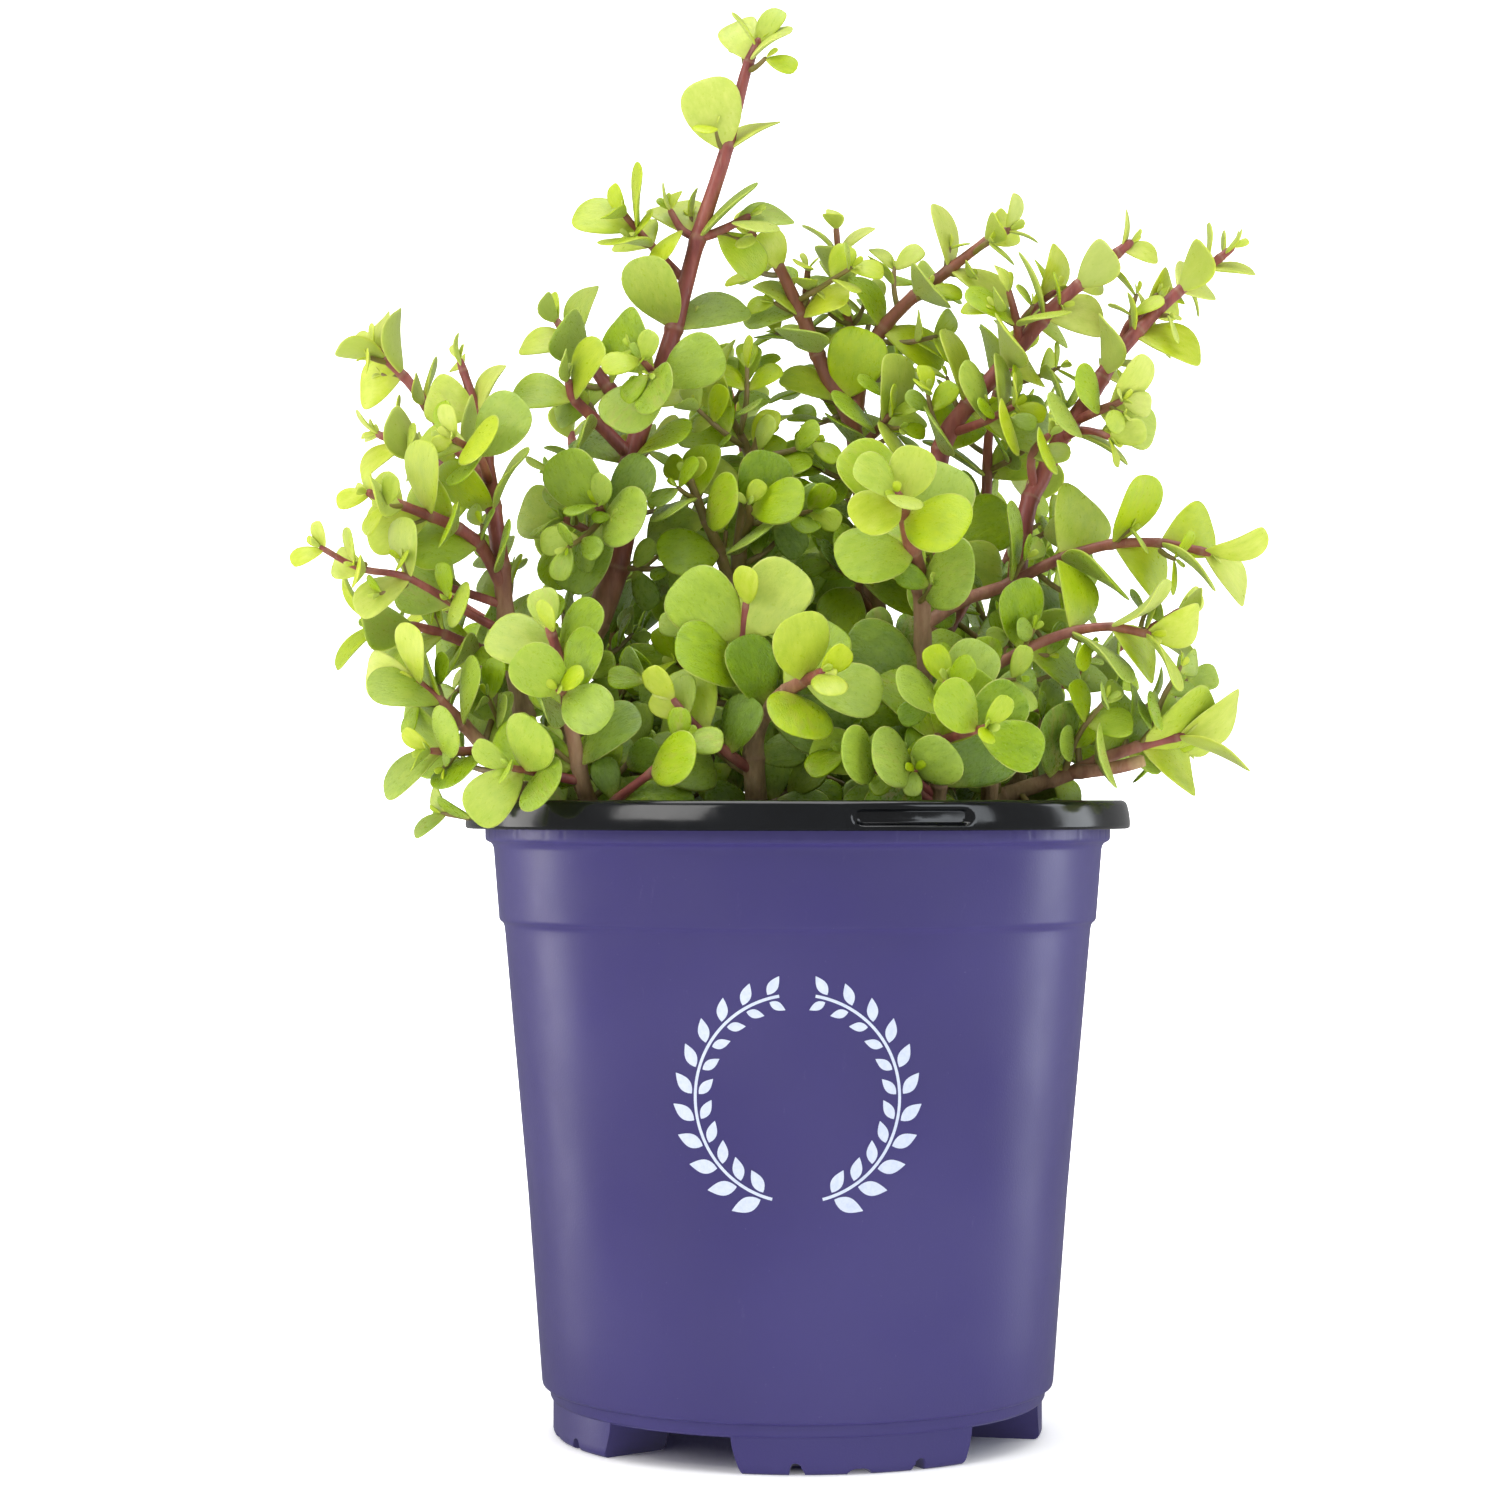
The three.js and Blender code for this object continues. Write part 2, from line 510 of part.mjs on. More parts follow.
// Places a leaf at the first of its tries that has room round it, smaller if it must be.
function placeLeaf(station, turn, open, { length, width, bend, roll }, stem, shoot) {
  for (const scale of [1, 0.8, 0.62]) {
    const size = { length: length * scale, width: width * scale, bend, roll };
    for (const [moreOpen, moreTurn] of tries) {
      const leaf = leafAt(station, turn + moreTurn, open + moreOpen, size);
      const samples = leafSamples(leaf);
      if (!samples.some(meetsPotOrSoil) && !isCrowded(samples, stem, shoot)) {
        samples.forEach((at) => taken.push({ at, radius: room.leaf, stem, shoot, isWood: false }));
        return leaf;
      }
    }
  }
  return null;
}

const twigForm = { thick: [2.8, 2.2, 1.6], bare: 0.5, pairs: 3, twigs: 0 };
const twigRule = {
  length: 20,
  lengthStray: 5,
  bendAt: 0.55,
  first: { outward: 0.5, light: 0.4, up: 0.25 },
  last: { outward: 0.3, up: 0.2 },
  leaf: 14.5,
  leafStray: 1.5,
  turn: 45,
  turnStray: 30,
  from: 0.62,
  to: 0.8,
  step: 137,
  stepStray: 25,
};

// A short side twig that turns to the light.
function twigFrom(shoot, u, turn) {
  const station = stationAt(shoot, u);
  const outward = station.side.clone().applyAxisAngle(station.direction, turn * degree);
  const light = lightAt(station.at);
  const { first: early, last: late } = twigRule;
  const first = outward.clone().multiplyScalar(early.outward).addScaledVector(light, early.light);
  first.addScaledVector(up, early.up).normalize();
  const last = light.clone().addScaledVector(outward, late.outward).addScaledVector(up, late.up).normalize();
  const length = twigRule.length + twigRule.lengthStray * draw();
  const middle = station.at.clone().addScaledVector(first, length * twigRule.bendAt);
  const end = middle.clone().addScaledVector(last, length * (1 - twigRule.bendAt));
  return {
    ...twigForm,
    stem: shoot.stem,
    leaf: twigRule.leaf + twigRule.leafStray * draw(),
    turn: twigRule.turn + twigRule.turnStray * draw(),
    path: [station.at, middle, end].map((point) => point.toArray()),
  };
}

function growTwigs(shoot) {
  const twigs = [];
  for (let i = 0; i < shoot.twigs; i += 1) {
    const u = THREE.MathUtils.lerp(nodesOf(shoot)[0] * twigRule.from, twigRule.to, (i + 0.5) / shoot.twigs);
    twigs.push(twigFrom(shoot, u, i * twigRule.step + twigRule.stepStray * draw()));
  }
  return twigs;
}

// The shares of a shoot's path at which its leaf pairs stand.
function nodesOf(shoot) {
  if (shoot.nodes) return shoot.nodes;
  const last = Math.max(shoot.pairs - 1, 1);
  const shares = Array.from({ length: shoot.pairs }, (_, pair) => (pair / last) ** leafForm.nodeEase);
  return shares.map((share) => shoot.bare + (leafForm.lastNode - shoot.bare) * share);
}

function growLeaves(shoot, number) {
  shoot.leaves = [];
  const nodes = nodesOf(shoot);
  for (const [pair, share] of nodes.entries()) {
    const age = 1 - pair / Math.max(nodes.length - 1, 1);
    const station = stationAt(shoot, share);
    for (const opposite of [0, 180]) {
      const grown = THREE.MathUtils.lerp(shoot.tip ?? leafForm.tip, 1, Math.min(1, age * leafForm.ageing));
      const length = shoot.leaf * leafForm.scale * (grown + leafForm.uneven * draw());
      const width = length * (leafForm.widthRatio + leafForm.uneven * draw());
      const turn = shoot.turn + pair * 90 + opposite + leafForm.stray * draw();
      const open = leafForm.open + leafForm.openWithAge * age + leafForm.stray * draw();
      const bend = leafForm.bend + leafForm.bendStray * draw();
      const form = { length, width, bend, roll: leafForm.roll * draw() };
      const leaf = placeLeaf(station, turn, open, form, shoot.stem, number);
      if (leaf && leaf.length > leafForm.least) shoot.leaves.push(leaf);
    }
  }
}

// A branch starts in the middle of the wood that is nearest to its first point.
function joinBranch(shoot) {
  const start = new THREE.Vector3(...shoot.path[0]);
  const own = taken.filter(({ isWood, stem }) => isWood && stem === shoot.stem);
  own.sort((one, other) => one.at.distanceTo(start) - other.at.distanceTo(start));
  shoot.path[0] = own[0].at.toArray();
}

function claimWood(shoot, number) {
  if (!isFromGround(shoot)) joinBranch(shoot);
  Object.assign(shoot, shootStations(shoot));
  for (const station of shoot.stations) {
    taken.push({ at: station.at, radius: station.radius, stem: shoot.stem, shoot: number, isWood: true });
  }
}

function growPlant() {
  shoots.forEach(claimWood);
  const twigs = shoots.flatMap(growTwigs);
  const all = [...shoots, ...twigs];
  twigs.forEach((twig, index) => claimWood(twig, shoots.length + index));
  all.forEach(growLeaves);
  return all;
}

// ---------------------------------------------------------------- solids of stems and leaves

// A straight piece one high, ready to be bent: round for a stem from the ground, square for a branch.
// The flats of a branch face its leaves.
function straightWood(shoot, steps) {
  if (isFromGround(shoot)) return new THREE.CylinderGeometry(1, 1, 1, wood.trunkSides, steps);
  const flat = Math.SQRT2;
  return new THREE.BoxGeometry(flat, 1, flat, 1, steps, 1).rotateY(shoot.turn * degree);
}

// The wood of a shoot, bent and tapered along its rings.
function stemSolid(shoot) {
  const steps = shoot.rings.length - 1;
  const tube = straightWood(shoot, steps);
  const place = tube.attributes.position;
  for (let i = 0; i < place.count; i += 1) {
    const ring = shoot.rings[Math.round((place.getY(i) + 0.5) * steps)];
    const { direction, side } = stationAt(shoot, ring.share);
    const radius = thickAt(shoot.thick, ring.share) / 2;
    const other = new THREE.Vector3().crossVectors(direction, side);
    const point = ring.at.clone().addScaledVector(side, place.getZ(i) * radius);
    point.addScaledVector(other, place.getX(i) * radius);
    place.setXYZ(i, point.x, point.y, point.z);
  }
  return solidFrom(tube);
}

// A flat cone: its rim is the leaf's outline, its middle the upper face and its tip the keel below.
function leafSolid(leaf) {
  const side = leaf.length > leafForm.small ? leafForm.side : leafForm.smallSide;
  const rim = [[0, 0], ...side, ...side.map(([t, half]) => [t, -half]).reverse()];
  const cone = new THREE.ConeGeometry(1, 1, rim.length, 1);
  const place = cone.attributes.position;
  for (let i = 0; i < place.count; i += 1) {
    const [x, y, z] = [place.getX(i), place.getY(i), place.getZ(i)];
    let at = leafPoint(leaf, leafForm.keelAt);
    if (y > 0) {
      at.addScaledVector(leaf.face, -leafForm.thickness);
    } else if (Math.hypot(x, z) > 0.5) {
      const corner = Math.round((Math.atan2(x, z) / (2 * Math.PI)) * rim.length);
      at = bladePoint(leaf, ...rim.at(corner % rim.length));
    }
    place.setXYZ(i, at.x, at.y, at.z);
  }
  return solidFrom(cone);
}

function leafyStemSolid(plant, stem) {
  const own = plant.filter((shoot) => shoot.stem === stem);
  const pieces = [...own.map(stemSolid), ...own.flatMap((shoot) => shoot.leaves.map(leafSolid))];
  return pieces.slice(1).reduce((solid, piece) => solid.add(piece), pieces[0]);
}

// ---------------------------------------------------------------- soil

function soilSolid(plant) {
  const wall = potInside().slice(0, 3).map(([radius, height]) => [radius - soil.gap, height]);
  const edge = wall.at(-1)[0] + 0.6;
  const floor = pot.footHeight + pot.wall + soil.gap;
  const profile = [
    [0, floor],
    [pot.floorRadius - 0.9, floor],
    ...wall,
    [edge, soil.top - 5],
    [edge - 0.6, soil.top - 1],
    ...[0.88, 0.55, 0.22].map((share) => [edge * share, soil.top]),
    [0, soil.top],
  ];
  const body = turned(profile, pot.sides);
  const place = body.attributes.position;
  for (let i = 0; i < place.count; i += 1) {
    const [x, y, z] = [place.getX(i), place.getY(i), place.getZ(i)];
    if (z > soil.top - 0.5) {
      const lump = Math.sin(x * 0.53 + 1.2) * Math.cos(y * 0.61) + 0.6 * Math.sin(x * 0.21 - y * 0.37);
      place.setZ(i, z + soil.crown * (1 - (x * x + y * y) / (edge * edge)) + soil.lump * lump);
    }
  }
  let solid = solidFrom(body);
  for (const shoot of plant.filter(isFromGround)) {
    const foot = shoot.stations[0];
    const radius = (shoot.thick[0] / 2 + hole.gap) / Math.cos(Math.PI / hole.sides);
    const socket = new THREE.CylinderGeometry(radius, radius, hole.height, hole.sides);
    socket.rotateX(Math.PI / 2).translate(foot.at.x, foot.at.y, foot.at.z - hole.gap + hole.height / 2);
    solid = solid.subtract(solidFrom(socket));
  }
  return solid;
}

// ---------------------------------------------------------------- the whole object

const plant = growPlant();
const leafGreens = [0x7da02f, 0x86a836, 0x74962c, 0x8fb03c];
const object = new THREE.Group();
object.add(namedMesh('pot', potSolid(), 0x5a5488, 0.45));
object.add(namedMesh('soil', soilSolid(plant), 0x3a2a20, 0.95));
[...new Set(plant.map((shoot) => shoot.stem))].forEach((stem, index) => {
  object.add(namedMesh(stem, leafyStemSolid(plant, stem), leafGreens[index % leafGreens.length], 0.5));
});

export default object;
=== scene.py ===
import json
import math

import bmesh
import bpy
import numpy as np
from mathutils import Matrix, Vector, noise

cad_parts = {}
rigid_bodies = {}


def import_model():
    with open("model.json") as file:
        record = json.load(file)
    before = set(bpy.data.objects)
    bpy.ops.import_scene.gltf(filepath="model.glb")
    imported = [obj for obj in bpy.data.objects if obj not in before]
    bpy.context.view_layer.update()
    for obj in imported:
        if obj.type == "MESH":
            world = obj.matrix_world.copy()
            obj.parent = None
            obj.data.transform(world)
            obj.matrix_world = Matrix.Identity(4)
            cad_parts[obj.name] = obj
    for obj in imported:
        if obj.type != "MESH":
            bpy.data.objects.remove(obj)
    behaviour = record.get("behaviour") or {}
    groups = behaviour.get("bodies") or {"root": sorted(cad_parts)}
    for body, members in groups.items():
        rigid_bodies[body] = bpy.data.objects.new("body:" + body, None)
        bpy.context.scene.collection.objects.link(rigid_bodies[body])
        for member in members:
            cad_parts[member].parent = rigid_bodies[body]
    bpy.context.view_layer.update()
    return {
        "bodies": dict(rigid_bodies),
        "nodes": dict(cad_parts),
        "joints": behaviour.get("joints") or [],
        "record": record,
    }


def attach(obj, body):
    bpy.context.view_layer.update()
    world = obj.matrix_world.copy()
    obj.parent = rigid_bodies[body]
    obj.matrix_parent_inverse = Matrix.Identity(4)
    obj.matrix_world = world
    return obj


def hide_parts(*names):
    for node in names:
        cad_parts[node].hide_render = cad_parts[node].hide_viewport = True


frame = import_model()
scene = bpy.context.scene
mm = 0.001

# The growth rule below works in millimetres with the pot's axis at x = y = 0 and the ground at z = 0.
# Lengths are in mm, angles in degrees; the stray values are the most that a random draw adds or takes away.
leafRule = {
    "scale": 1.2, "tip": 0.55, "ageing": 2.2, "uneven": 0.08, "widthRatio": 0.84, "widthStray": 0.08,
    "open": 36, "openWithAge": 34, "stray": 8, "bend": 42, "bendStray": 16, "roll": 24,
    "sunk": 2.2, "faceLight": 0.78, "spread": 0.4, "lastNode": 0.97, "nodeEase": 0.9,
    # shares of the length, and of the half width, where a leaf is tested for room
    "middle": (0.4, 0.6, 0.8, 0.97), "side": [(0.45, 0.82), (0.7, 1), (0.93, 0.62)], "sideReach": 0.85,
}
twigRule = {
    "shoot": {"thick": [2.8, 2.2, 1.6], "bare": 0.5, "pairs": 3}, "leaf": 14.5, "leafStray": 1.5,
    "turn": 45, "turnStray": 30, "length": 20, "lengthStray": 5, "bendAt": 0.55,
    "from": 0.62, "to": 0.8, "step": 137, "stepStray": 25,
    # how much its first half grows out of the stem, to the light and up, and its last half out and up
    "first": (0.5, 0.4, 0.25), "last": (0.3, 0.2),
}
bushHeart = {"at": (0, 46, 160), "flatness": 0.2}
# mm that a leaf keeps to its surroundings; smaller: the shares of its size that it is tried in
room = {"leaf": 1.2, "own": 1.4, "other": 2.8, "search": 14, "smaller": (1, 0.8, 0.62)}
woodRule = {"ringsPerPoint": 0.7, "stations": 48, "aside": 0.01}
ground = {"soilTop": 143, "soilHigh": 148.5, "soilEdge": 72.1, "rimRadius": 85, "rimHigh": 159}

# Every shoot of a stem is a path of points, from the ground or from inside the shoot that carries it.
# thick: its diameters along the path; nodes: the shares of the path where pairs of leaves stand, or else
# bare: the share without leaves, and pairs: how many follow; leaf: its longest leaf; tip: the share of
# that length its last pair has; turn: the side that the first pair faces; twigs: its short side twigs;
# cut: it was pruned.
stemShoots = {
    # the tall leader on the left, with its branches
    "tall_stem": [
        {"thick": [10.5, 10, 8, 6.4, 5.6, 5, 4.2, 3.4, 2.2],
         "nodes": [0.5, 0.667, 0.75, 0.84, 0.935, 0.985], "leaf": 16.5, "turn": 135, "twigs": 3,
         "path": [(-57, 2, 119), (-57, 2, 148), (-57, 2, 165), (-57, 2, 184), (-48, 3, 207), (-43, 3, 224),
         (-42, 4, 241), (-36, 5, 259), (-31, 6, 275), (-25, 7, 298), (-18, 7, 320), (-13, 7, 340),
         (-9.5, 6, 348)]},
        {"thick": [4.6, 3.6, 2], "bare": 0.35, "pairs": 4, "leaf": 14.5, "path": [(-39, 4, 251),
         (-45, 6, 257), (-51, 8, 265), (-56, 10, 271), (-61, 12, 278)]},
        {"thick": [4.2, 3.2, 2], "bare": 0.4, "pairs": 3, "leaf": 15, "turn": 60, "path": [(-42.5, 4, 243),
         (-47, 2, 248), (-52, 0, 253), (-56, -2, 257), (-57, -3, 261)]},
        {"thick": [3, 2.2, 1.6], "bare": 0.5, "pairs": 2, "leaf": 11, "path": [(-43, 4, 232), (-50, 8, 235),
         (-57, 10, 238), (-62, 12, 240)]},
        {"thick": [4, 3, 2], "bare": 0.45, "pairs": 3, "leaf": 17, "turn": 45, "path": [(-43, 3, 221),
         (-45, -3, 223.5), (-47.5, -9, 226), (-49, -15, 229)]},
        {"thick": [3.6, 3, 2], "bare": 0.3, "pairs": 5, "leaf": 16, "tip": 0.9, "path": [(-57, 2, 184),
         (-67, -3, 188), (-79, -6, 194), (-92, -8, 199), (-104, -9, 200)]},
        {"thick": [3, 2.4, 1.8], "bare": 0.4, "pairs": 3, "leaf": 14, "turn": 20, "path": [(-25.5, 7, 297),
         (-21, 6, 299), (-16, 4, 301), (-12, 3, 303)]},
        {"thick": [2.6, 2.2, 1.6], "bare": 0.5, "pairs": 2, "leaf": 11, "path": [(-25.5, 7, 297),
         (-29, 7, 300), (-32, 6, 305)]}],
    # the bushy stem at the far left
    "left_stem": [
        {"thick": [6.5, 6, 5, 4.4, 3.4, 2], "bare": 0.5, "pairs": 5, "leaf": 15, "turn": 90, "twigs": 2,
         "path": [(-66, -14, 119), (-66, -14, 148), (-66, -14, 170), (-71, -12, 196), (-73, -12, 214),
         (-75, -10, 228), (-77, -8, 241), (-80, -6, 254), (-84, -4, 266)]},
        {"thick": [2.6, 2, 1.5], "bare": 0.3, "pairs": 4, "leaf": 12.5, "turn": 90,
         "path": [(-71, -12, 196), (-80, -19, 202), (-88, -25, 207), (-96, -30, 211), (-105, -34, 212),
         (-114, -38, 217)]},
        {"thick": [3.8, 3.2, 2.1], "bare": 0.3, "pairs": 5, "leaf": 14.5, "path": [(-72, -12, 208),
         (-77, -16, 218), (-83, -20, 223), (-93, -24, 227), (-104, -28, 231)]},
        {"thick": [3.6, 3, 2], "bare": 0.35, "pairs": 4, "leaf": 13, "path": [(-75, -10, 228),
         (-85, -1, 237), (-96, 5, 244), (-106, 9, 249)]},
        {"thick": [3.8, 3, 2], "bare": 0.3, "pairs": 5, "leaf": 13.5, "turn": 90, "path": [(-76, -9, 234),
         (-82, 3, 241), (-90, 9, 251), (-98, 13, 262), (-104, 14, 268), (-108, 15, 272)]}],
    # the short brown stem that leans out over the rim at the left
    "low_left_stem": [
        {"thick": [5, 4.4, 3.6, 2.4], "bare": 0.55, "pairs": 4, "leaf": 15.5, "tip": 0.85, "turn": 45,
         "twigs": 1, "path": [(-61, -29, 119), (-61, -29, 148), (-67, -28, 158), (-73, -28, 166),
         (-79, -28, 173), (-86, -29, 180), (-92, -30, 185)]}],
    # low stems at the front left
    "front_left_stem": [
        {"thick": [5, 4.4, 3.6, 2.4], "bare": 0.5, "pairs": 4, "leaf": 17, "twigs": 2,
         "path": [(-46, -44, 119), (-46, -44, 148), (-50, -46, 158), (-53, -48, 172), (-55, -51, 186),
         (-58, -55, 197)]},
        {"thick": [3, 2.4, 1.8], "bare": 0.3, "pairs": 3, "leaf": 16, "path": [(-48, -45, 152),
         (-42, -52, 157), (-34, -58, 163), (-27, -61, 170)]}],
    # the tan stem in the middle of the front, with the bright rosette
    "front_stem": [
        {"thick": [6, 5.6, 5, 3.6, 2.4], "bare": 0.6, "pairs": 4, "leaf": 16.5, "path": [(-9, -42, 119),
         (-9, -42, 148), (-10, -45, 160), (-10, -47, 172), (-5, -51, 180), (1, -57, 184), (6, -65, 186)]},
        {"thick": [3.4, 2.6, 1.8], "bare": 0.4, "pairs": 3, "leaf": 17.5, "turn": 90,
         "path": [(-10, -47, 170), (-13, -46, 182), (-13, -47, 193), (-12, -50, 203)]},
        {"thick": [3, 2.4, 1.8], "bare": 0.3, "pairs": 4, "leaf": 15, "path": [(-10, -46, 163),
         (-17, -51, 168), (-24, -55, 174), (-29, -58, 180)]}],
    # the stem with the cut top in the middle
    "cut_stem": [
        {"thick": [6.5, 6, 4.6, 4, 3.4, 3.2], "nodes": [0.4, 0.5, 0.62, 0.75, 0.87], "leaf": 18, "turn": 90,
         "twigs": 2, "cut": True, "path": [(-20, 10, 119), (-20, 10, 148), (-18, 8, 175), (-16, 6, 200),
         (-14, 5, 224), (-11, 5, 241), (-8, 4, 251)]},
        {"thick": [3.6, 3, 2], "bare": 0.3, "pairs": 4, "leaf": 15, "turn": 45, "path": [(-16, 6, 205),
         (-20, 1, 220), (-24, -2, 229), (-27, -4, 237)]},
        {"thick": [3, 2.4, 1.8], "bare": 0.3, "pairs": 4, "leaf": 15, "path": [(-11, 5, 240),
         (-14, 12, 248), (-19, 17, 257), (-24, 20, 266)]}],
    # the forked stem behind the middle
    "fork_stem": [
        {"thick": [7, 6.5, 6, 5, 4.3, 3.4, 2.2], "bare": 0.4, "pairs": 7, "leaf": 15, "twigs": 3,
         "path": [(20, 26, 119), (20, 26, 148), (21, 26, 175), (20, 25, 205), (17, 22, 232), (14, 20, 252),
         (7, 20, 266), (2, 19, 278), (-5, 18, 293), (-12, 17, 301)]},
        {"thick": [4.6, 4.2, 3.2, 2.1], "bare": 0.4, "pairs": 5, "leaf": 14.5, "path": [(15, 20, 250),
         (16, 22, 263), (19, 23, 273), (27, 23, 283), (36, 22, 290), (48, 20, 299), (54, 19, 302)]},
        {"thick": [2.8, 2.2, 1.6], "bare": 0.3, "pairs": 4, "leaf": 12, "path": [(17, 22, 267),
         (13, 26, 280), (11, 27, 293), (10, 27, 304)]}],
    # the big stem to the upper right
    "right_stem": [
        {"thick": [7.5, 7, 6, 5.2, 4.6, 3.6, 2.6], "bare": 0.36, "pairs": 7, "leaf": 16, "twigs": 3,
         "path": [(36, 12, 119), (36, 12, 148), (37, 11, 175), (36, 10, 205), (35, 9, 232), (37, 8, 247),
         (44, 8, 257), (53, 8, 267), (63, 8, 279), (73, 8, 288), (84, 8, 297)]},
        {"thick": [3.2, 2.8, 2], "bare": 0.5, "pairs": 3, "leaf": 15, "path": [(37, 11, 193), (44, 17, 210),
         (48, 21, 228), (49, 24, 250), (52, 27, 264), (55, 28, 273)]},
        {"thick": [2.8, 2.2, 1.6], "bare": 0.4, "pairs": 2, "leaf": 13, "path": [(57, 8, 271), (55, 5, 277),
         (53, 3, 284)]}],
    # the stem to the far right
    "far_right_stem": [
        {"thick": [6.5, 6, 5, 4.6, 4.4, 3.4, 2], "nodes": [0.56, 0.68, 0.78, 0.87, 0.93, 0.97],
         "leaf": 14.5, "twigs": 3, "path": [(54, -5, 119), (54, -5, 148), (54, -4, 175), (54, -3, 205),
         (57, -2, 228), (61, 0, 237), (66, 1, 247), (73, 3, 257), (80, 5, 268), (90, 8, 279), (100, 10, 288),
         (110, 11, 296)]},
        {"thick": [2.6, 2.2, 1.6], "bare": 0.4, "pairs": 2, "leaf": 14, "path": [(65, 0, 246),
         (69, -4, 248), (73, -7, 248), (77, -9, 246)]}],
    # the stem with the second bright rosette, and the branches that arch to the right
    "rosette_stem": [
        {"thick": [5.6, 5.2, 4.6, 3.6, 2.6], "nodes": [0.4, 0.52, 0.63, 0.8, 0.89, 0.97], "leaf": 18,
         "turn": 38, "path": [(29, -24, 119), (29, -24, 148), (30, -27, 175), (30, -30, 205), (27, -38, 218),
         (25, -47, 225), (23, -57, 228)]},
        {"thick": [3.8, 3.4, 2.8, 2.2], "bare": 0.35, "pairs": 5, "leaf": 17.5, "tip": 0.8, "turn": 45,
         "path": [(30, -29, 197), (40, -21, 205), (51, -16, 209), (63, -15, 215), (76, -15, 219),
         (89, -15, 219.5), (101, -15, 217)]},
        {"thick": [3.2, 2.8, 2], "bare": 0.4, "pairs": 4, "leaf": 16.5, "tip": 0.85, "turn": 45,
         "path": [(30, -27, 178), (46, -31, 188), (60, -34, 195), (73, -36, 198), (84, -38, 196)]}],
    # the low stem that leans out over the rim at the right, with its two cut stubs
    "low_right_stem": [
        {"thick": [5, 4.8, 4, 3.2, 2.2], "bare": 0.5, "pairs": 4, "leaf": 18, "tip": 0.85, "turn": 45,
         "path": [(44, -30, 119), (44, -30, 148), (48, -29, 156), (57, -29, 160), (66, -29, 163),
         (75, -29, 167), (84, -29, 170), (93, -29, 172)]},
        {"thick": [3.6, 3.4], "bare": 1, "pairs": 0, "leaf": 0, "cut": True, "path": [(66, -30, 162),
         (75, -33, 164), (83, -34, 166)]},
        {"thick": [4.6, 4.4], "bare": 1, "pairs": 0, "leaf": 0, "cut": True, "path": [(45, -30, 150),
         (46, -34, 156), (46, -37, 162)]}],
    # low leaves at the front right
    "front_right_stem": [
        {"thick": [6, 5.4, 4, 2.6], "bare": 0.5, "pairs": 4, "leaf": 17.5, "turn": 45, "twigs": 2,
         "path": [(32, -46, 119), (32, -46, 148), (33, -49, 160), (34, -53, 174), (35, -61, 184)]},
        {"thick": [3, 2.4, 1.8], "bare": 0.3, "pairs": 3, "leaf": 16, "path": [(33, -48, 155),
         (26, -54, 160), (18, -59, 164), (11, -62, 168)]}],
    # the stems at the back
    "back_left_stem": [
        {"thick": [6.5, 6, 4.6, 3.6, 2.2], "bare": 0.4, "pairs": 5, "leaf": 16, "turn": 45, "twigs": 2,
         "path": [(-38, 38, 119), (-38, 38, 148), (-43, 44, 175), (-50, 53, 205), (-57, 61, 232),
         (-61, 67, 256)]},
        {"thick": [3.6, 3, 2], "bare": 0.3, "pairs": 4, "leaf": 16, "path": [(-42, 43, 170), (-57, 44, 183),
         (-72, 43, 197), (-87, 42, 207), (-99, 43, 214)]},
        {"thick": [3.4, 2.8, 2], "bare": 0.3, "pairs": 4, "leaf": 16, "path": [(-40, 41, 162),
         (-42, 54, 172), (-43, 64, 184), (-41, 74, 194)]}],
    "back_stem": [
        {"thick": [6.5, 6, 4.6, 3.6, 2.2], "bare": 0.4, "pairs": 6, "leaf": 16, "twigs": 2,
         "path": [(-5, 46, 119), (-5, 46, 148), (-5, 51, 180), (-8, 56, 215), (-13, 60, 245),
         (-20, 61, 272)]},
        {"thick": [3.4, 2.8, 2], "bare": 0.3, "pairs": 4, "leaf": 16, "turn": 45, "twigs": 1,
         "path": [(-5, 50, 172), (1, 60, 184), (7, 64, 197), (10, 70, 212)]}],
    "back_right_stem": [
        {"thick": [6.5, 6, 4.6, 3.6, 2.2], "bare": 0.4, "pairs": 5, "leaf": 16, "turn": 45, "twigs": 2,
         "path": [(38, 40, 119), (38, 40, 148), (44, 46, 175), (52, 54, 205), (60, 60, 232), (66, 63, 254)]},
        {"thick": [3.6, 3, 2], "bare": 0.3, "pairs": 4, "leaf": 16, "path": [(42, 44, 168), (58, 46, 178),
         (74, 46, 190), (90, 44, 200), (100, 42, 206)]},
        {"thick": [3.4, 2.8, 2], "bare": 0.3, "pairs": 4, "leaf": 16, "path": [(40, 42, 160), (46, 54, 168),
         (50, 63, 178), (52, 72, 190)]}],
}
shoots = [{"stem": stem, "turn": 0, **shoot} for stem, group in stemShoots.items() for shoot in group]


def unit(v):
    return v / math.sqrt(v @ v)


def cross(a, b):
    return np.array([a[1] * b[2] - a[2] * b[1], a[2] * b[0] - a[0] * b[2], a[0] * b[1] - a[1] * b[0]])


def rotated(v, axis, degrees):
    angle = math.radians(degrees)
    return v * math.cos(angle) + cross(axis, v) * math.sin(angle) + axis * (axis @ v) * (1 - math.cos(angle))


def mix(a, b, share):
    return a + (b - a) * share


class Dice:  # a seeded draw between -1 and 1
    def __init__(self, seed):
        self.state = seed

    def draw(self):
        self.state = self.state * 16807 % 2147483647
        return self.state / 2147483647 * 2 - 1

    def share(self):  # a draw between 0 and 1
        return 0.5 + 0.5 * self.draw()


dice = Dice(20611)
upward = np.array([0.0, 0, 1])
backward = np.array([0.0, 1, 0])


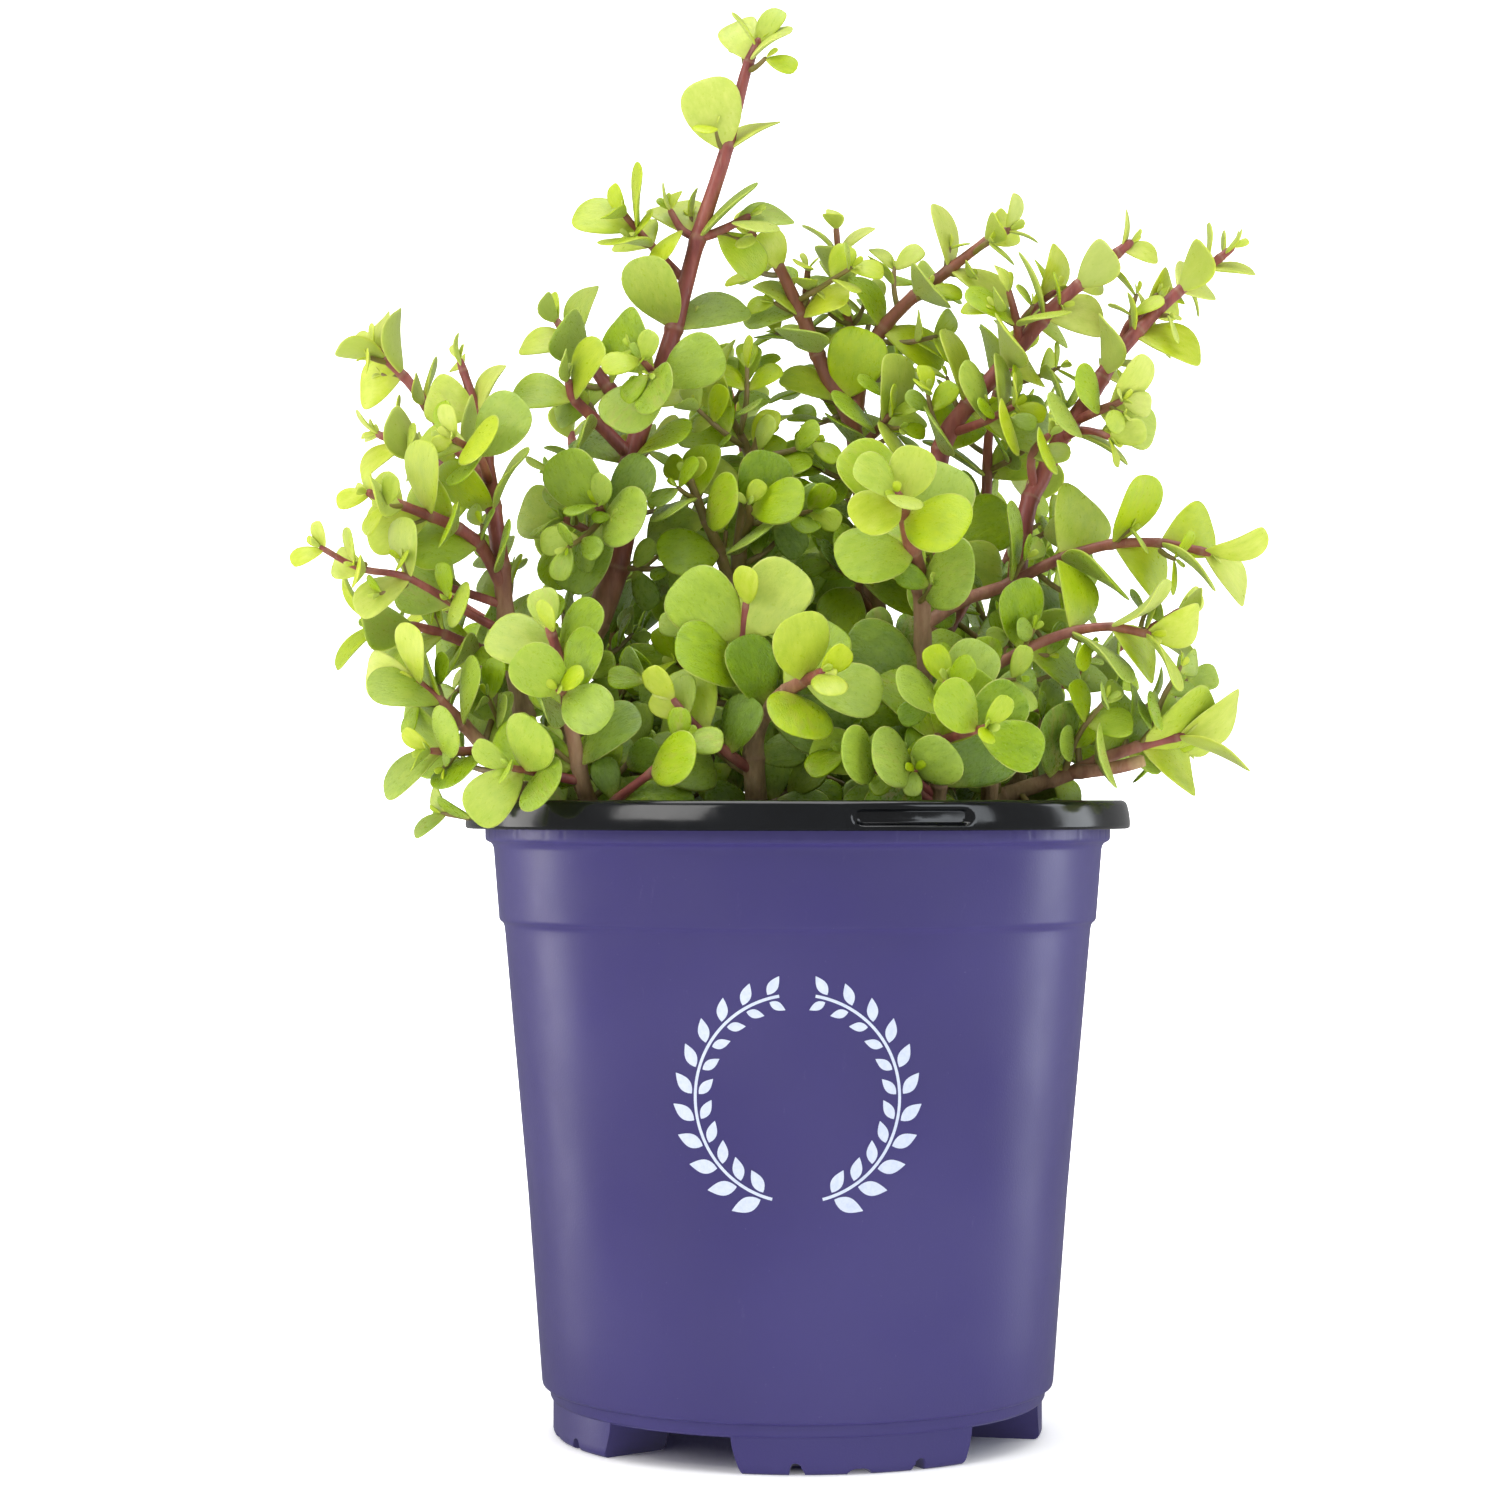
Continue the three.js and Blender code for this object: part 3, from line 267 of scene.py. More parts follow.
def pathPoint(path, u):
    # a point at share u of a smooth curve through the path
    last = len(path) - 1
    place = min(max(u, 0), 1) * last
    index = min(int(place), last - 1)
    s = place - index
    p1, p2 = path[index], path[index + 1]
    p0 = path[index - 1] if index > 0 else 2 * path[0] - path[1]
    p3 = path[index + 2] if index + 2 <= last else 2 * path[last] - path[last - 1]
    t0, t1 = 0.5 * (p2 - p0), 0.5 * (p3 - p1)
    return p1 + t0 * s + (3 * (p2 - p1) - 2 * t0 - t1) * s * s + (2 * (p1 - p2) + t0 + t1) * s * s * s


def pathDirection(path, u):
    return unit(pathPoint(path, u + woodRule["aside"]) - pathPoint(path, u - woodRule["aside"]))


def thickAt(thick, u):
    place = u * (len(thick) - 1)
    index = min(int(place), len(thick) - 2)
    return mix(thick[index], thick[index + 1], place - index)


def isFromGround(shoot):
    return shoot["path"][0][2] < ground["soilTop"]


def evenShares(start, steps):
    return [start + (1 - start) * step / steps for step in range(steps + 1)]


def ringShares(shoot):
    points = len(shoot["path"])
    if not isFromGround(shoot):
        return evenShares(0, 3 if points > 4 else 2)
    return [0] + evenShares(1 / (points - 1), math.ceil((points - 2) * woodRule["ringsPerPoint"]))


def shootStations(shoot):
    # even stations along a shoot; the side vector starts to the left and is carried along untwisted
    path = shoot["path"]
    shares = ringShares(shoot)
    rings = [pathPoint(path, share) for share in shares]
    stations = []
    side = None
    for i in range(woodRule["stations"] + 1):
        u = i / woodRule["stations"]
        index = max(next(k for k, share in enumerate(shares) if share >= u - 1e-9), 1)
        part = (u - shares[index - 1]) / (shares[index] - shares[index - 1])
        direction = pathDirection(path, u)
        if side is None:
            side = cross(direction, upward if abs(direction[1]) > 0.8 else backward)
        side = unit(side - direction * (side @ direction))
        stations.append({
            "at": mix(rings[index - 1], rings[index], part),
            "smooth": pathPoint(path, u),
            "direction": direction,
            "side": side,
            "radius": thickAt(shoot["thick"], u) / 2,
        })
    return stations


def stationAt(shoot, u):
    return shoot["stations"][math.floor(u * woodRule["stations"] + 0.5)]


def lightAt(point):
    # the way from the heart of the bush to the open air
    way = point - np.array(bushHeart["at"])
    way[2] *= bushHeart["flatness"]
    return unit(way)


def leafAt(station, turn, opening, size):
    outward = rotated(station["side"], station["direction"], turn)
    light = lightAt(station["at"])
    c, s = math.cos(math.radians(opening)), math.sin(math.radians(opening))
    along = station["direction"] * c + outward * s
    along = unit(along - light * (leafRule["spread"] * (along @ light)))
    face = station["direction"] * s - outward * c
    face = mix(face, light, leafRule["faceLight"])
    face = rotated(unit(face - along * (face @ along)), along, size["roll"])
    root = station["at"] + outward * max(station["radius"] - leafRule["sunk"], 0)
    return {**size, "root": root, "along": along, "face": face, "across": cross(face, along),
            "shift": station["smooth"] - station["at"]}


def leafPoint(leaf, t):
    # the middle of a leaf at share t: an arc that bends back away from its face
    turn = math.radians(leaf["bend"])
    angle = turn * (t - 0.5)
    forward = leaf["length"] / turn * (math.sin(angle) + math.sin(turn / 2))
    rise = leaf["length"] / turn * (math.cos(angle) - math.cos(turn / 2))
    return leaf["root"] + leaf["along"] * forward + leaf["face"] * rise


def leafSamples(leaf):
    samples = [leafPoint(leaf, t) for t in leafRule["middle"]]
    for t, half in leafRule["side"]:
        reach = leaf["across"] * (leafRule["sideReach"] * half * leaf["width"] / 2)
        middle = leafPoint(leaf, t)
        samples += [middle + reach, middle - reach]
    return np.array(samples)


class Taken:  # the places that wood and leaves already fill, kept in cubes of space
    def __init__(self, cube=24):
        self.cube = cube
        self.cubes = {}

    def key(self, point):
        return tuple(int(math.floor(value / self.cube)) for value in point)

    def add(self, at, radius, stem, shoot, isWood):
        self.cubes.setdefault(self.key(at), []).append((at, radius, stem, shoot, isWood))

    def near(self, point, reach):
        low, high = self.key(point - reach), self.key(point + reach)
        found = []
        for x in range(low[0], high[0] + 1):
            for y in range(low[1], high[1] + 1):
                for z in range(low[2], high[2] + 1):
                    found += self.cubes.get((x, y, z), [])
        if not found:
            return np.zeros((0, 3)), np.zeros(0), np.zeros(0, str), np.zeros(0), np.zeros(0, bool)
        return tuple(np.array(column) for column in zip(*found))

    def wood(self, stem):
        return [item[0] for cube in self.cubes.values() for item in cube if item[4] and item[2] == stem]


taken = Taken()


def clearances(point, reach, stem, shoot, ease):
    # the filled places near a point, each with the square of the gap that a leaf keeps to it
    at, radius, stems, shoots, isWood = taken.near(point, reach)
    own = shoots == shoot
    gap = radius + room["leaf"] + np.where(own, 0, np.where(stems == stem, room["own"], room["other"])) - ease
    keep = (gap > 0) & ~(own & isWood) & (((at - point) ** 2).sum(1) < reach * reach)
    return at[keep], gap[keep] ** 2


def isCrowded(samples, at, gap):
    distances = sum((samples[:, None, axis] - at[:, axis]) ** 2 for axis in range(3))
    return bool((distances < gap).any())


def meetsPotOrSoil(samples):
    radius = np.hypot(samples[:, 0], samples[:, 1])
    inside = radius <= ground["soilEdge"]
    overRim = (radius < ground["rimRadius"]) & (samples[:, 2] < ground["rimHigh"])
    return bool(np.where(inside, samples[:, 2] < ground["soilHigh"], overRim).any())


# degrees that a leaf opens and turns further, in the order in which they are tried
tries = [(0, 0), (14, 0), (-14, 0), (0, 18), (0, -18), (14, 18), (14, -18), (-14, 18), (-14, -18), (28, 0),
         (-28, 0), (0, 36), (0, -36), (28, 18), (28, -18), (-28, 18), (-28, -18), (28, 36), (28, -36)]


def placeLeaf(station, turn, opening, size, stem, shoot, ease=0, count=None):
    # the first of the tries that has room round it, smaller if it must be
    around = clearances(station["at"], size["length"] + room["search"], stem, shoot, ease)
    for scale in room["smaller"]:
        shrunk = {**size, "length": size["length"] * scale, "width": size["width"] * scale}
        for moreOpen, moreTurn in tries[:count]:
            leaf = leafAt(station, turn + moreTurn, opening + moreOpen, shrunk)
            samples = leafSamples(leaf)
            if not meetsPotOrSoil(samples) and not isCrowded(samples, *around):
                for at in samples:
                    taken.add(at, room["leaf"], stem, shoot, False)
                return leaf
    return None


def nodesOf(shoot):
    if "nodes" in shoot:
        return shoot["nodes"]
    last = max(shoot["pairs"] - 1, 1)
    shares = [(pair / last) ** leafRule["nodeEase"] for pair in range(shoot["pairs"])]
    return [shoot["bare"] + (leafRule["lastNode"] - shoot["bare"]) * share for share in shares]


def twigFrom(shoot, u, turn):
    station = stationAt(shoot, u)
    outward = rotated(station["side"], station["direction"], turn)
    light = lightAt(station["at"])
    out, toLight, up = twigRule["first"]
    first = unit(outward * out + light * toLight + upward * up)
    out, up = twigRule["last"]
    last = unit(light + outward * out + upward * up)
    length = twigRule["length"] + twigRule["lengthStray"] * dice.draw()
    middle = station["at"] + first * (length * twigRule["bendAt"])
    end = middle + last * (length * (1 - twigRule["bendAt"]))
    return {"stem": shoot["stem"], **twigRule["shoot"], "path": [station["at"], middle, end],
            "leaf": twigRule["leaf"] + twigRule["leafStray"] * dice.draw(),
            "turn": twigRule["turn"] + twigRule["turnStray"] * dice.draw()}


def growTwigs(shoot):
    twigs, count = [], shoot.get("twigs", 0)
    for i in range(count):
        u = mix(nodesOf(shoot)[0] * twigRule["from"], twigRule["to"], (i + 0.5) / count)
        twigs.append(twigFrom(shoot, u, i * twigRule["step"] + twigRule["stepStray"] * dice.draw()))
    return twigs


def growLeaves(shoot):
    nodes = nodesOf(shoot)
    for pair, share in enumerate(nodes):
        age = 1 - pair / max(len(nodes) - 1, 1)
        station = stationAt(shoot, share)
        for opposite in (0, 180):
            grown = mix(shoot.get("tip", leafRule["tip"]), 1, min(1, age * leafRule["ageing"]))
            length = shoot["leaf"] * leafRule["scale"] * (grown + leafRule["uneven"] * dice.draw())
            width = length * (leafRule["widthRatio"] + leafRule["widthStray"] * dice.draw())
            turn = shoot["turn"] + pair * 90 + opposite + leafRule["stray"] * dice.draw()
            opening = leafRule["open"] + leafRule["openWithAge"] * age + leafRule["stray"] * dice.draw()
            bend = leafRule["bend"] + leafRule["bendStray"] * dice.draw()
            size = {"length": length, "width": width, "bend": bend, "roll": leafRule["roll"] * dice.draw()}
            leaf = placeLeaf(station, turn, opening, size, shoot["stem"], shoot["number"])
            if leaf:
                shoot["leaves"].append({**leaf, "age": age})


def claimWood(shoot, number):
    shoot["path"] = [np.array(point, dtype=float) for point in shoot["path"]]
    if not isFromGround(shoot):  # a branch starts in the middle of the wood nearest to its first point
        shoot["path"][0] = min(taken.wood(shoot["stem"]), key=lambda at: ((at - shoot["path"][0]) ** 2).sum())
    shoot["stations"] = shootStations(shoot)
    shoot["number"] = number
    shoot["leaves"] = []
    for station in shoot["stations"]:
        taken.add(station["at"], station["radius"], shoot["stem"], number, True)


def growPlant():
    for number, shoot in enumerate(shoots):
        claimWood(shoot, number)
    twigs = [twig for shoot in shoots for twig in growTwigs(shoot)]
    for number, twig in enumerate(twigs):
        claimWood(twig, len(shoots) + number)
    grown = shoots + twigs
    for shoot in grown:
        growLeaves(shoot)
    return grown


plant = growPlant()
print("grown:", len(plant), "shoots with", sum(len(shoot["leaves"]) for shoot in plant), "leaves")

# Small side shoots, called sprigs, and folded buds that stand between the large leaves.
sprigRule = {
    # mm, middles and half sizes of the dense parts of the bush; within: the part of them where sprigs start
    "bodies": [((-2, 12, 168), (95, 72, 88)), ((6, 20, 262), (40, 32, 38)), ((50, 24, 250), (30, 28, 30)),
               ((84, -6, 182), (26, 40, 22))],
    "within": 0.92,
    # mm of room at the end of a sprig, and more of it in front of this y; how far round it is looked for
    "least": 3.2, "front": -20, "frontLeast": 4.2, "search": 12, "under": 2,
    "woodFrom": 204, "woodThick": 3, "woodClear": 9,  # mm: high, thick stems stay in view between the sprigs
    "low": 152, "lowTop": 182,  # mm above the ground: the lowest sprig, and the top of the larger ones
    "gap": 6.4, "gapStray": 0.4,  # mm along a stem from sprig to sprig, and the share of it that is drawn
    "length": (8, 19), "lowLength": (12, 27), "pairFrom": (8, 14, 21),  # mm; lengths that add a pair
    "draws": 9, "outward": 0.8, "forward": 0.4, "forwardStray": 0.3, "upStray": 0.2,
    "thick": [2.2, 1.8, 1.3], "bendAt": 0.5, "bendOut": 0.3, "lastNode": 0.94, "nodeStep": 0.3, "turn": 90,
    "leaf": 12.0, "lowLeaf": 14.0, "younger": 0.3, "uneven": 0.1, "width": 0.84, "widthStray": 0.08,
    "bend": 40, "bendStray": 14, "roll": 20, "opening": 66, "closing": 30, "ease": 1.4, "tries": 9,
    # mm: x, z and radius of the places, in front of openTo, where the old wood stays in view
    "open": [(-9.5, 163, 9), (-73, 164, 9), (44, 161, 11), (64, 163, 12), (-56, 183, 9), (-8, 251, 12),
             (-12, 239, 8), (-15, 226, 7), (6, 186, 17), (24, 229, 15)],
    "openTo": 12,
}
axilRule = {"chance": 0.3, "length": 6.5, "uneven": 0.2, "leaf": 9.5, "lean": 0.7}
budRule = {"length": 4.6, "uneven": 0.2, "width": 3.2, "bend": 30, "opening": 24, "stray": 8, "roll": 10,
           "small": 0.75}


def lengthOf(shoot):
    return sum(math.dist(a, b) for a, b in zip(shoot["path"], shoot["path"][1:]))


def isLow(point):
    return point[2] < sprigRule["lowTop"]


def isInBody(point, share=1.0):
    return point[2] > sprigRule["low"] and any(
        sum(((p - m) / h) ** 2 for p, m, h in zip(point, middle, half)) < share
        for middle, half in sprigRule["bodies"])


def isOpen(point):
    return point[1] < sprigRule["openTo"] and any(
        math.hypot(point[0] - x, point[2] - z) < radius for x, z, radius in sprigRule["open"])


def shownWood():
    stations = [station["at"] for shoot in plant for station in shoot["stations"]
                if shoot["thick"][0] > sprigRule["woodThick"] and not shoot["stem"].startswith("back")]
    return np.array([at for at in stations if at[2] > sprigRule["woodFrom"]])


highWood = shownWood()


def hidesWood(point):
    across, along = highWood[:, 0] - point[0], highWood[:, 2] - point[2]
    isNear = across ** 2 + along ** 2 < sprigRule["woodClear"] ** 2
    return bool((isNear & (highWood[:, 1] > point[1])).any())


def freestWay(station):
    # of a few draws, the way out of the stem that ends in the most room
    rule = sprigRule
    most, best = rule["least"], None
    shortest, longest = rule["lowLength" if isLow(station["at"]) else "length"]
    at, radius = taken.near(station["at"], longest + rule["search"])[:2]
    for _ in range(rule["draws"]):
        outward = rotated(station["side"], station["direction"], 180 * dice.draw())
        forward = station["direction"] * (rule["forward"] + rule["forwardStray"] * dice.draw())
        way = unit(outward * rule["outward"] + forward + upward * rule["upStray"] * dice.draw())
        length = mix(shortest, longest, dice.share())
        end = station["at"] + way * length
        under = np.array([end - upward * rule["under"]])
        if isOpen(end) or hidesWood(end) or not isInBody(end) or meetsPotOrSoil(under):
            continue
        space = float((np.sqrt(((at - end) ** 2).sum(1)) - radius).min())
        if space > (most if end[1] > rule["front"] else max(most, rule["frontLeast"])):
            most, best = space, (way, outward, length)
    return best


def sprigFrom(shoot, station, way, outward, length, longestLeaf, number):
    rule, start = sprigRule, station["at"]
    pairs = 1 + sum(length >= least for least in rule["pairFrom"])
    nodes = [rule["lastNode"] - rule["nodeStep"] * i for i in range(pairs)][::-1]
    bend = start + unit(way + outward * rule["bendOut"]) * (length * rule["bendAt"])
    sprig = {"stem": shoot["stem"], "thick": rule["thick"], "nodes": nodes, "isSprig": True,
             "turn": rule["turn"] * dice.draw(), "path": [start, bend, start + way * length]}
    claimWood(sprig, number)
    for pair, place in enumerate(nodes):
        young = pair / pairs
        for side in (0, 180):
            size = longestLeaf * (1 - rule["younger"] * young + rule["uneven"] * min(dice.draw(), 0))
            width = size * (rule["width"] + rule["widthStray"] * dice.draw())
            form = {"length": size, "width": width, "bend": rule["bend"] + rule["bendStray"] * dice.draw(),
                    "roll": rule["roll"] * dice.draw()}
            turn, opening = sprig["turn"] + 90 * pair + side, rule["opening"] - rule["closing"] * young
            leaf = placeLeaf(stationAt(sprig, place), turn, opening, form, sprig["stem"], number,
                             rule["ease"], rule["tries"])
            if leaf:
                sprig["leaves"].append({**leaf, "age": 1 - young})
    return sprig if sprig["leaves"] else None


def growSprigs(shoot, number):
    sprigs = []
    length = lengthOf(shoot)
    steps = int(length / sprigRule["gap"])
    for step in range(1, steps):
        station = stationAt(shoot, (step + sprigRule["gapStray"] * dice.draw()) / steps)
        isOnLow = isLow(station["at"])
        attempts = 0 if not isInBody(station["at"], sprigRule["within"]) else 2 if isOnLow else 1
        for _ in range(attempts):
            found = freestWay(station)
            longestLeaf = sprigRule["lowLeaf" if isOnLow else "leaf"]
            sprig = found and sprigFrom(shoot, station, *found, longestLeaf, number + len(sprigs))
            if sprig:
                sprigs.append(sprig)
    return sprigs


def growAxils(shoot, number):
    # the first small pair of a side shoot, in the corner over some of the large leaves
    axils = []
    for pair, share in enumerate(nodesOf(shoot)[:-1]):
        station = stationAt(shoot, share)
        for side in (0, 180):
            outward = rotated(station["side"], station["direction"], shoot["turn"] + pair * 90 + side)
            way = unit(outward * axilRule["lean"] + station["direction"] * axilRule["lean"])
            length = axilRule["length"] * (1 + axilRule["uneven"] * dice.draw())
            if dice.draw() < axilRule["chance"] and not isOpen(station["at"]):
                axil = sprigFrom(shoot, station, way, outward, length, axilRule["leaf"], number + len(axils))
                if axil:
                    axils.append(axil)
    return axils


def addBuds(shoot):
    # the last, still folded pair at the end of a shoot
    if shoot.get("cut") or not shoot["leaves"]:
        return
    scale = budRule["small"] if shoot.get("isSprig") else 1
    for side in (0, 180):
        form = {"length": budRule["length"] * scale * (1 + budRule["uneven"] * dice.draw()),
                "width": budRule["width"] * scale, "bend": budRule["bend"],
                "roll": budRule["roll"] * dice.draw()}
        turn = shoot["turn"] + 90 * len(nodesOf(shoot)) + side
        bud = leafAt(shoot["stations"][-1], turn, budRule["opening"] + budRule["stray"] * dice.draw(), form)
        shoot["leaves"].append({**bud, "age": 0.0, "isBud": True})


def growAll(grow):
    # what grows on the shoots of the plant, each with a number of its own
    grown = []
    for shoot in plant:
        grown += grow(shoot, len(plant) + len(sprigs) + len(grown))
    return grown


sprigs = []
sprigs += growAll(growAxils)
sprigs += growAll(growSprigs)
for shoot in plant + sprigs:
    addBuds(shoot)
plant += sprigs
print("sprigs:", len(sprigs), "leaves in all:", sum(len(shoot["leaves"]) for shoot in plant))


def newPiece(name, bm, material, nodes, smoothAngle=None, levels=0):
    mesh = bpy.data.meshes.new(name)
    bm.to_mesh(mesh)
    bm.free()
    piece = bpy.data.objects.new(name, mesh)
    scene.collection.objects.link(piece)
    for item in material if isinstance(material, list) else [material]:
        mesh.materials.append(item)
    mesh.shade_smooth()
    if smoothAngle is not None:
        mesh.set_sharp_from_angle(angle=math.radians(smoothAngle))
    if levels:
        rounding = piece.modifiers.new("rounding", "SUBSURF")
        rounding.levels = levels
        rounding.render_levels = levels
    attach(piece, "root")
    if nodes:
        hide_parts(*nodes)
    return piece


def colour(red, green, blue):
    # a screen colour 0 to 255 as the linear values that a shader takes
    values = [value / 255 for value in (red, green, blue)]
    return tuple(v / 12.92 if v <= 0.04045 else ((v + 0.055) / 1.055) ** 2.4 for v in values) + (1.0,)


class Paint:  # a short way to lay out the nodes of one material
    def __init__(self, name):
        self.material = bpy.data.materials.new(name)
        self.material.use_nodes = True
        self.nodes = self.material.node_tree.nodes
        self.links = self.material.node_tree.links
        self.shader = self.nodes["Principled BSDF"]

    def put(self, kind, inputs=None, **settings):
        node = self.nodes.new(kind)
        for key, value in settings.items():
            setattr(node, key, value)
        for key, value in (inputs or {}).items():
            self.join(value, node.inputs[key])
        return node

    def join(self, value, socket):
        if isinstance(value, bpy.types.NodeSocket):
            self.links.new(value, socket)
        elif socket.type == "RGBA":
            socket.default_value = colour(*value)
        else:
            socket.default_value = value

    def maths(self, operation, a, b, clamp=False):
        return self.put("ShaderNodeMath", {0: a, 1: b}, operation=operation, use_clamp=clamp).outputs[0]

    def plus(self, a, b, clamp=False):
        return self.maths("ADD", a, b, clamp)

    def times(self, a, b):
        return self.maths("MULTIPLY", a, b)

    def without(self, value):  # what is left of one
        return self.maths("SUBTRACT", 1.0, value)

    def spread(self, value, size):  # the strays of a noise from its middle
        return self.times(self.maths("SUBTRACT", value, 0.5), size)

    def blend(self, share, a, b):
        node = self.put("ShaderNodeMix", data_type="RGBA")
        self.join(share, node.inputs["Factor"])
        self.join(a, node.inputs["A"])
        self.join(b, node.inputs["B"])
        return node.outputs["Result"]

    def step(self, value, low, high, out=(0.0, 1.0)):
        node = self.put("ShaderNodeMapRange", {"Value": value}, interpolation_type="SMOOTHSTEP")
        for key, number in zip(("From Min", "From Max", "To Min", "To Max"), (low, high, *out)):
            node.inputs[key].default_value = number
        return node.outputs["Result"]

    def ramp(self, value, stops):
        node = self.put("ShaderNodeValToRGB", {"Fac": value})
        while len(node.color_ramp.elements) < len(stops):
            node.color_ramp.elements.new(0.5)
        for element, (place, tint) in zip(node.color_ramp.elements, stops):
            element.position = place
            element.color = colour(*tint)
        return node.outputs["Color"]

    def attribute(self, name):
        return self.put("ShaderNodeAttribute", attribute_name=name)

    def channels(self, attribute):
        # the four values of an attribute's colour
        parts = self.put("ShaderNodeSeparateColor", {"Color": attribute.outputs["Color"]}).outputs
        return parts["Red"], parts["Green"], parts["Blue"], attribute.outputs["Alpha"]

    def place(self, scale=(1, 1, 1)):
        coordinates = self.put("ShaderNodeTexCoord").outputs["Object"]
        return self.put("ShaderNodeMapping", {"Vector": coordinates, "Scale": scale}).outputs["Vector"]

    def noise(self, scale, detail=3.0, roughness=0.55, stretch=(1, 1, 1)):
        return self.grain({"Vector": self.place(stretch), "Scale": scale, "Detail": detail,
                           "Roughness": roughness})

    def grain(self, inputs):
        return self.put("ShaderNodeTexNoise", inputs).outputs["Fac"]

    def bump(self, height, distance, strength=1.0):
        node = self.put("ShaderNodeBump", {"Height": height, "Distance": distance, "Strength": strength})
        self.links.new(node.outputs["Normal"], self.shader.inputs["Normal"])

    def finish(self, tint, roughness, **sockets):
        self.join(tint, self.shader.inputs["Base Color"])
        self.join(roughness, self.shader.inputs["Roughness"])
        for key, value in sockets.items():
            self.shader.inputs[key.replace("_", " ")].default_value = value
        return self.material


# Leaves: shares of the half width and heights in mm of both faces, at shares of the length.
leafForm = {
    # faces around and along a leaf, fewer on leaves under this length in mm and on buds
    "faces": (8, 8), "smallFaces": (6, 5), "smallUnder": 13.2, "budFaces": (5, 4),
    "share": [0, 0.038, 0.146, 0.309, 0.5, 0.691, 0.854, 0.962, 1],
    "half": [0.1, 0.17, 0.42, 0.76, 0.97, 1.04, 0.92, 0.58, 0.3],
    "upper": [0.3, 0.34, 0.42, 0.48, 0.48, 0.43, 0.35, 0.24, 0.1],
    "lower": [0.6, 0.78, 1.08, 1.3, 1.3, 1.1, 0.86, 0.56, 0.1],
    "thickAt": 16, "thickening": 0.6,  # mm, the leaf length that these heights are meant for
    "longer": 1.03, "cupFrom": 2.5, "waveMiddle": 0.4,
    "cup": 0.015, "cupStray": 0.045, "youngCup": 0.05, "wave": 0.05,
    "grainWidth": 40, "grainLength": 20,  # mm of a leaf that the pattern on it is laid out for
}
# What makes a leaf lighter: its youth, and painted light and shade: leaves high up, far from the heart,
# facing up and lying out at either side are painted lighter as if lit, low and inner ones darker as if in
# shade, and sprigs a little darker as painted shade.
toneRule = {
    "base": 0.14, "young": 0.24, "high": 0.27, "far": 0.32, "up": 0.1, "aside": 0.14, "stray": 0.13,
    "highFrom": 150, "highBy": 190, "highTop": 0.8,  # mm
    "farBy": 110, "farTop": 1.2, "weights": (1, 0.5, 0.7), "top": 0.88,
    "sprigs": -0.08, "oldShare": 0.85,  # how much less of its own tone an old leaf has
    "stems": {"front_stem": 0.22, "rosette_stem": 0.04, "low_right_stem": 0.18, "front_left_stem": -0.04,
              "front_right_stem": -0.04, "tall_stem": -0.22},
}


def leafSurface(leaf, ball):
    # carries the points of a unit ball to the surface of a leaf
    t = (ball[:, 2] + 1) / 2
    ring = np.sqrt(np.maximum(1 - ball[:, 2] ** 2, 1e-9))
    sideways, upDown = ball[:, 0] / ring, ball[:, 1] / ring
    atPole = ring < 1e-3
    sideways[atPole] = upDown[atPole] = 0
    half, upper, lower = [np.interp(t, leafForm["share"], leafForm[k]) for k in ("half", "upper", "lower")]
    half = half * sideways
    thickness = (leaf["length"] / leafForm["thickAt"]) ** leafForm["thickening"]
    height = np.where(upDown > 0, upper, lower) * upDown * thickness
    height = height + leaf["cup"] * leaf["length"] * half ** 2 * np.minimum(t * leafForm["cupFrom"], 1)
    height = height + leaf["wave"] * leaf["length"] * half * (t - leafForm["waveMiddle"])
    turn = math.radians(leaf["bend"])
    angle = turn * (t - 0.5)
    reach = leaf["length"] * leafForm["longer"] / turn
    forward = reach * (np.sin(angle) + math.sin(turn / 2)) + height * np.sin(angle)
    rise = reach * (np.cos(angle) - math.cos(turn / 2)) + height * np.cos(angle)
    points = (leaf["root"] + leaf["shift"] + np.outer(forward, leaf["along"]) + np.outer(rise, leaf["face"])
              + np.outer(half * leaf["width"] / 2, leaf["across"]))
    every = np.ones(len(t))
    tones = np.stack([every * leaf["tone"], t, np.abs(sideways), 0.5 + 0.5 * upDown], 1)
    across = half * leaf["width"] / leafForm["grainWidth"] + 0.5
    forward = t * leaf["length"] / leafForm["grainLength"]
    return points * mm, tones, np.stack([across, forward, *[every * mark for mark in leaf["marks"]]], 1)


def dressLeaf(leaf, shoot):
    # how light, cupped and wavy one leaf is; its tone adds painted light and shade to its youth
    rule, root, young = toneRule, leaf["root"], 1 - leaf["age"]
    high = (root[2] - rule["highFrom"]) / rule["highBy"]
    far = np.linalg.norm((root - np.array(bushHeart["at"])) * rule["weights"]) / rule["farBy"]
    # painted light and shade: higher leaves, leaves further from the heart, leaves facing up and leaves out
    # to either side get a lighter tone
    tone = (rule["base"] + rule["young"] * young + rule["high"] * min(high, rule["highTop"])
            + rule["far"] * min(far, rule["farTop"]))
    tone += rule["up"] * max(lightAt(root)[2], 0) + rule["aside"] * (root[0] / rule["farBy"]) ** 2
    own = rule["sprigs"] if shoot.get("isSprig") else rule["stems"].get(shoot["stem"], 0)
    tone += own * (1 - rule["oldShare"] * leaf["age"]) + rule["stray"] * dice.draw()
    leaf["tone"] = min(max(tone, 0), rule["top"])
    leaf["cup"] = leafForm["cup"] + leafForm["cupStray"] * dice.draw() + leafForm["youngCup"] * young
    leaf["wave"] = leafForm["wave"] * dice.draw()
    leaf["marks"] = (dice.share(), dice.share())


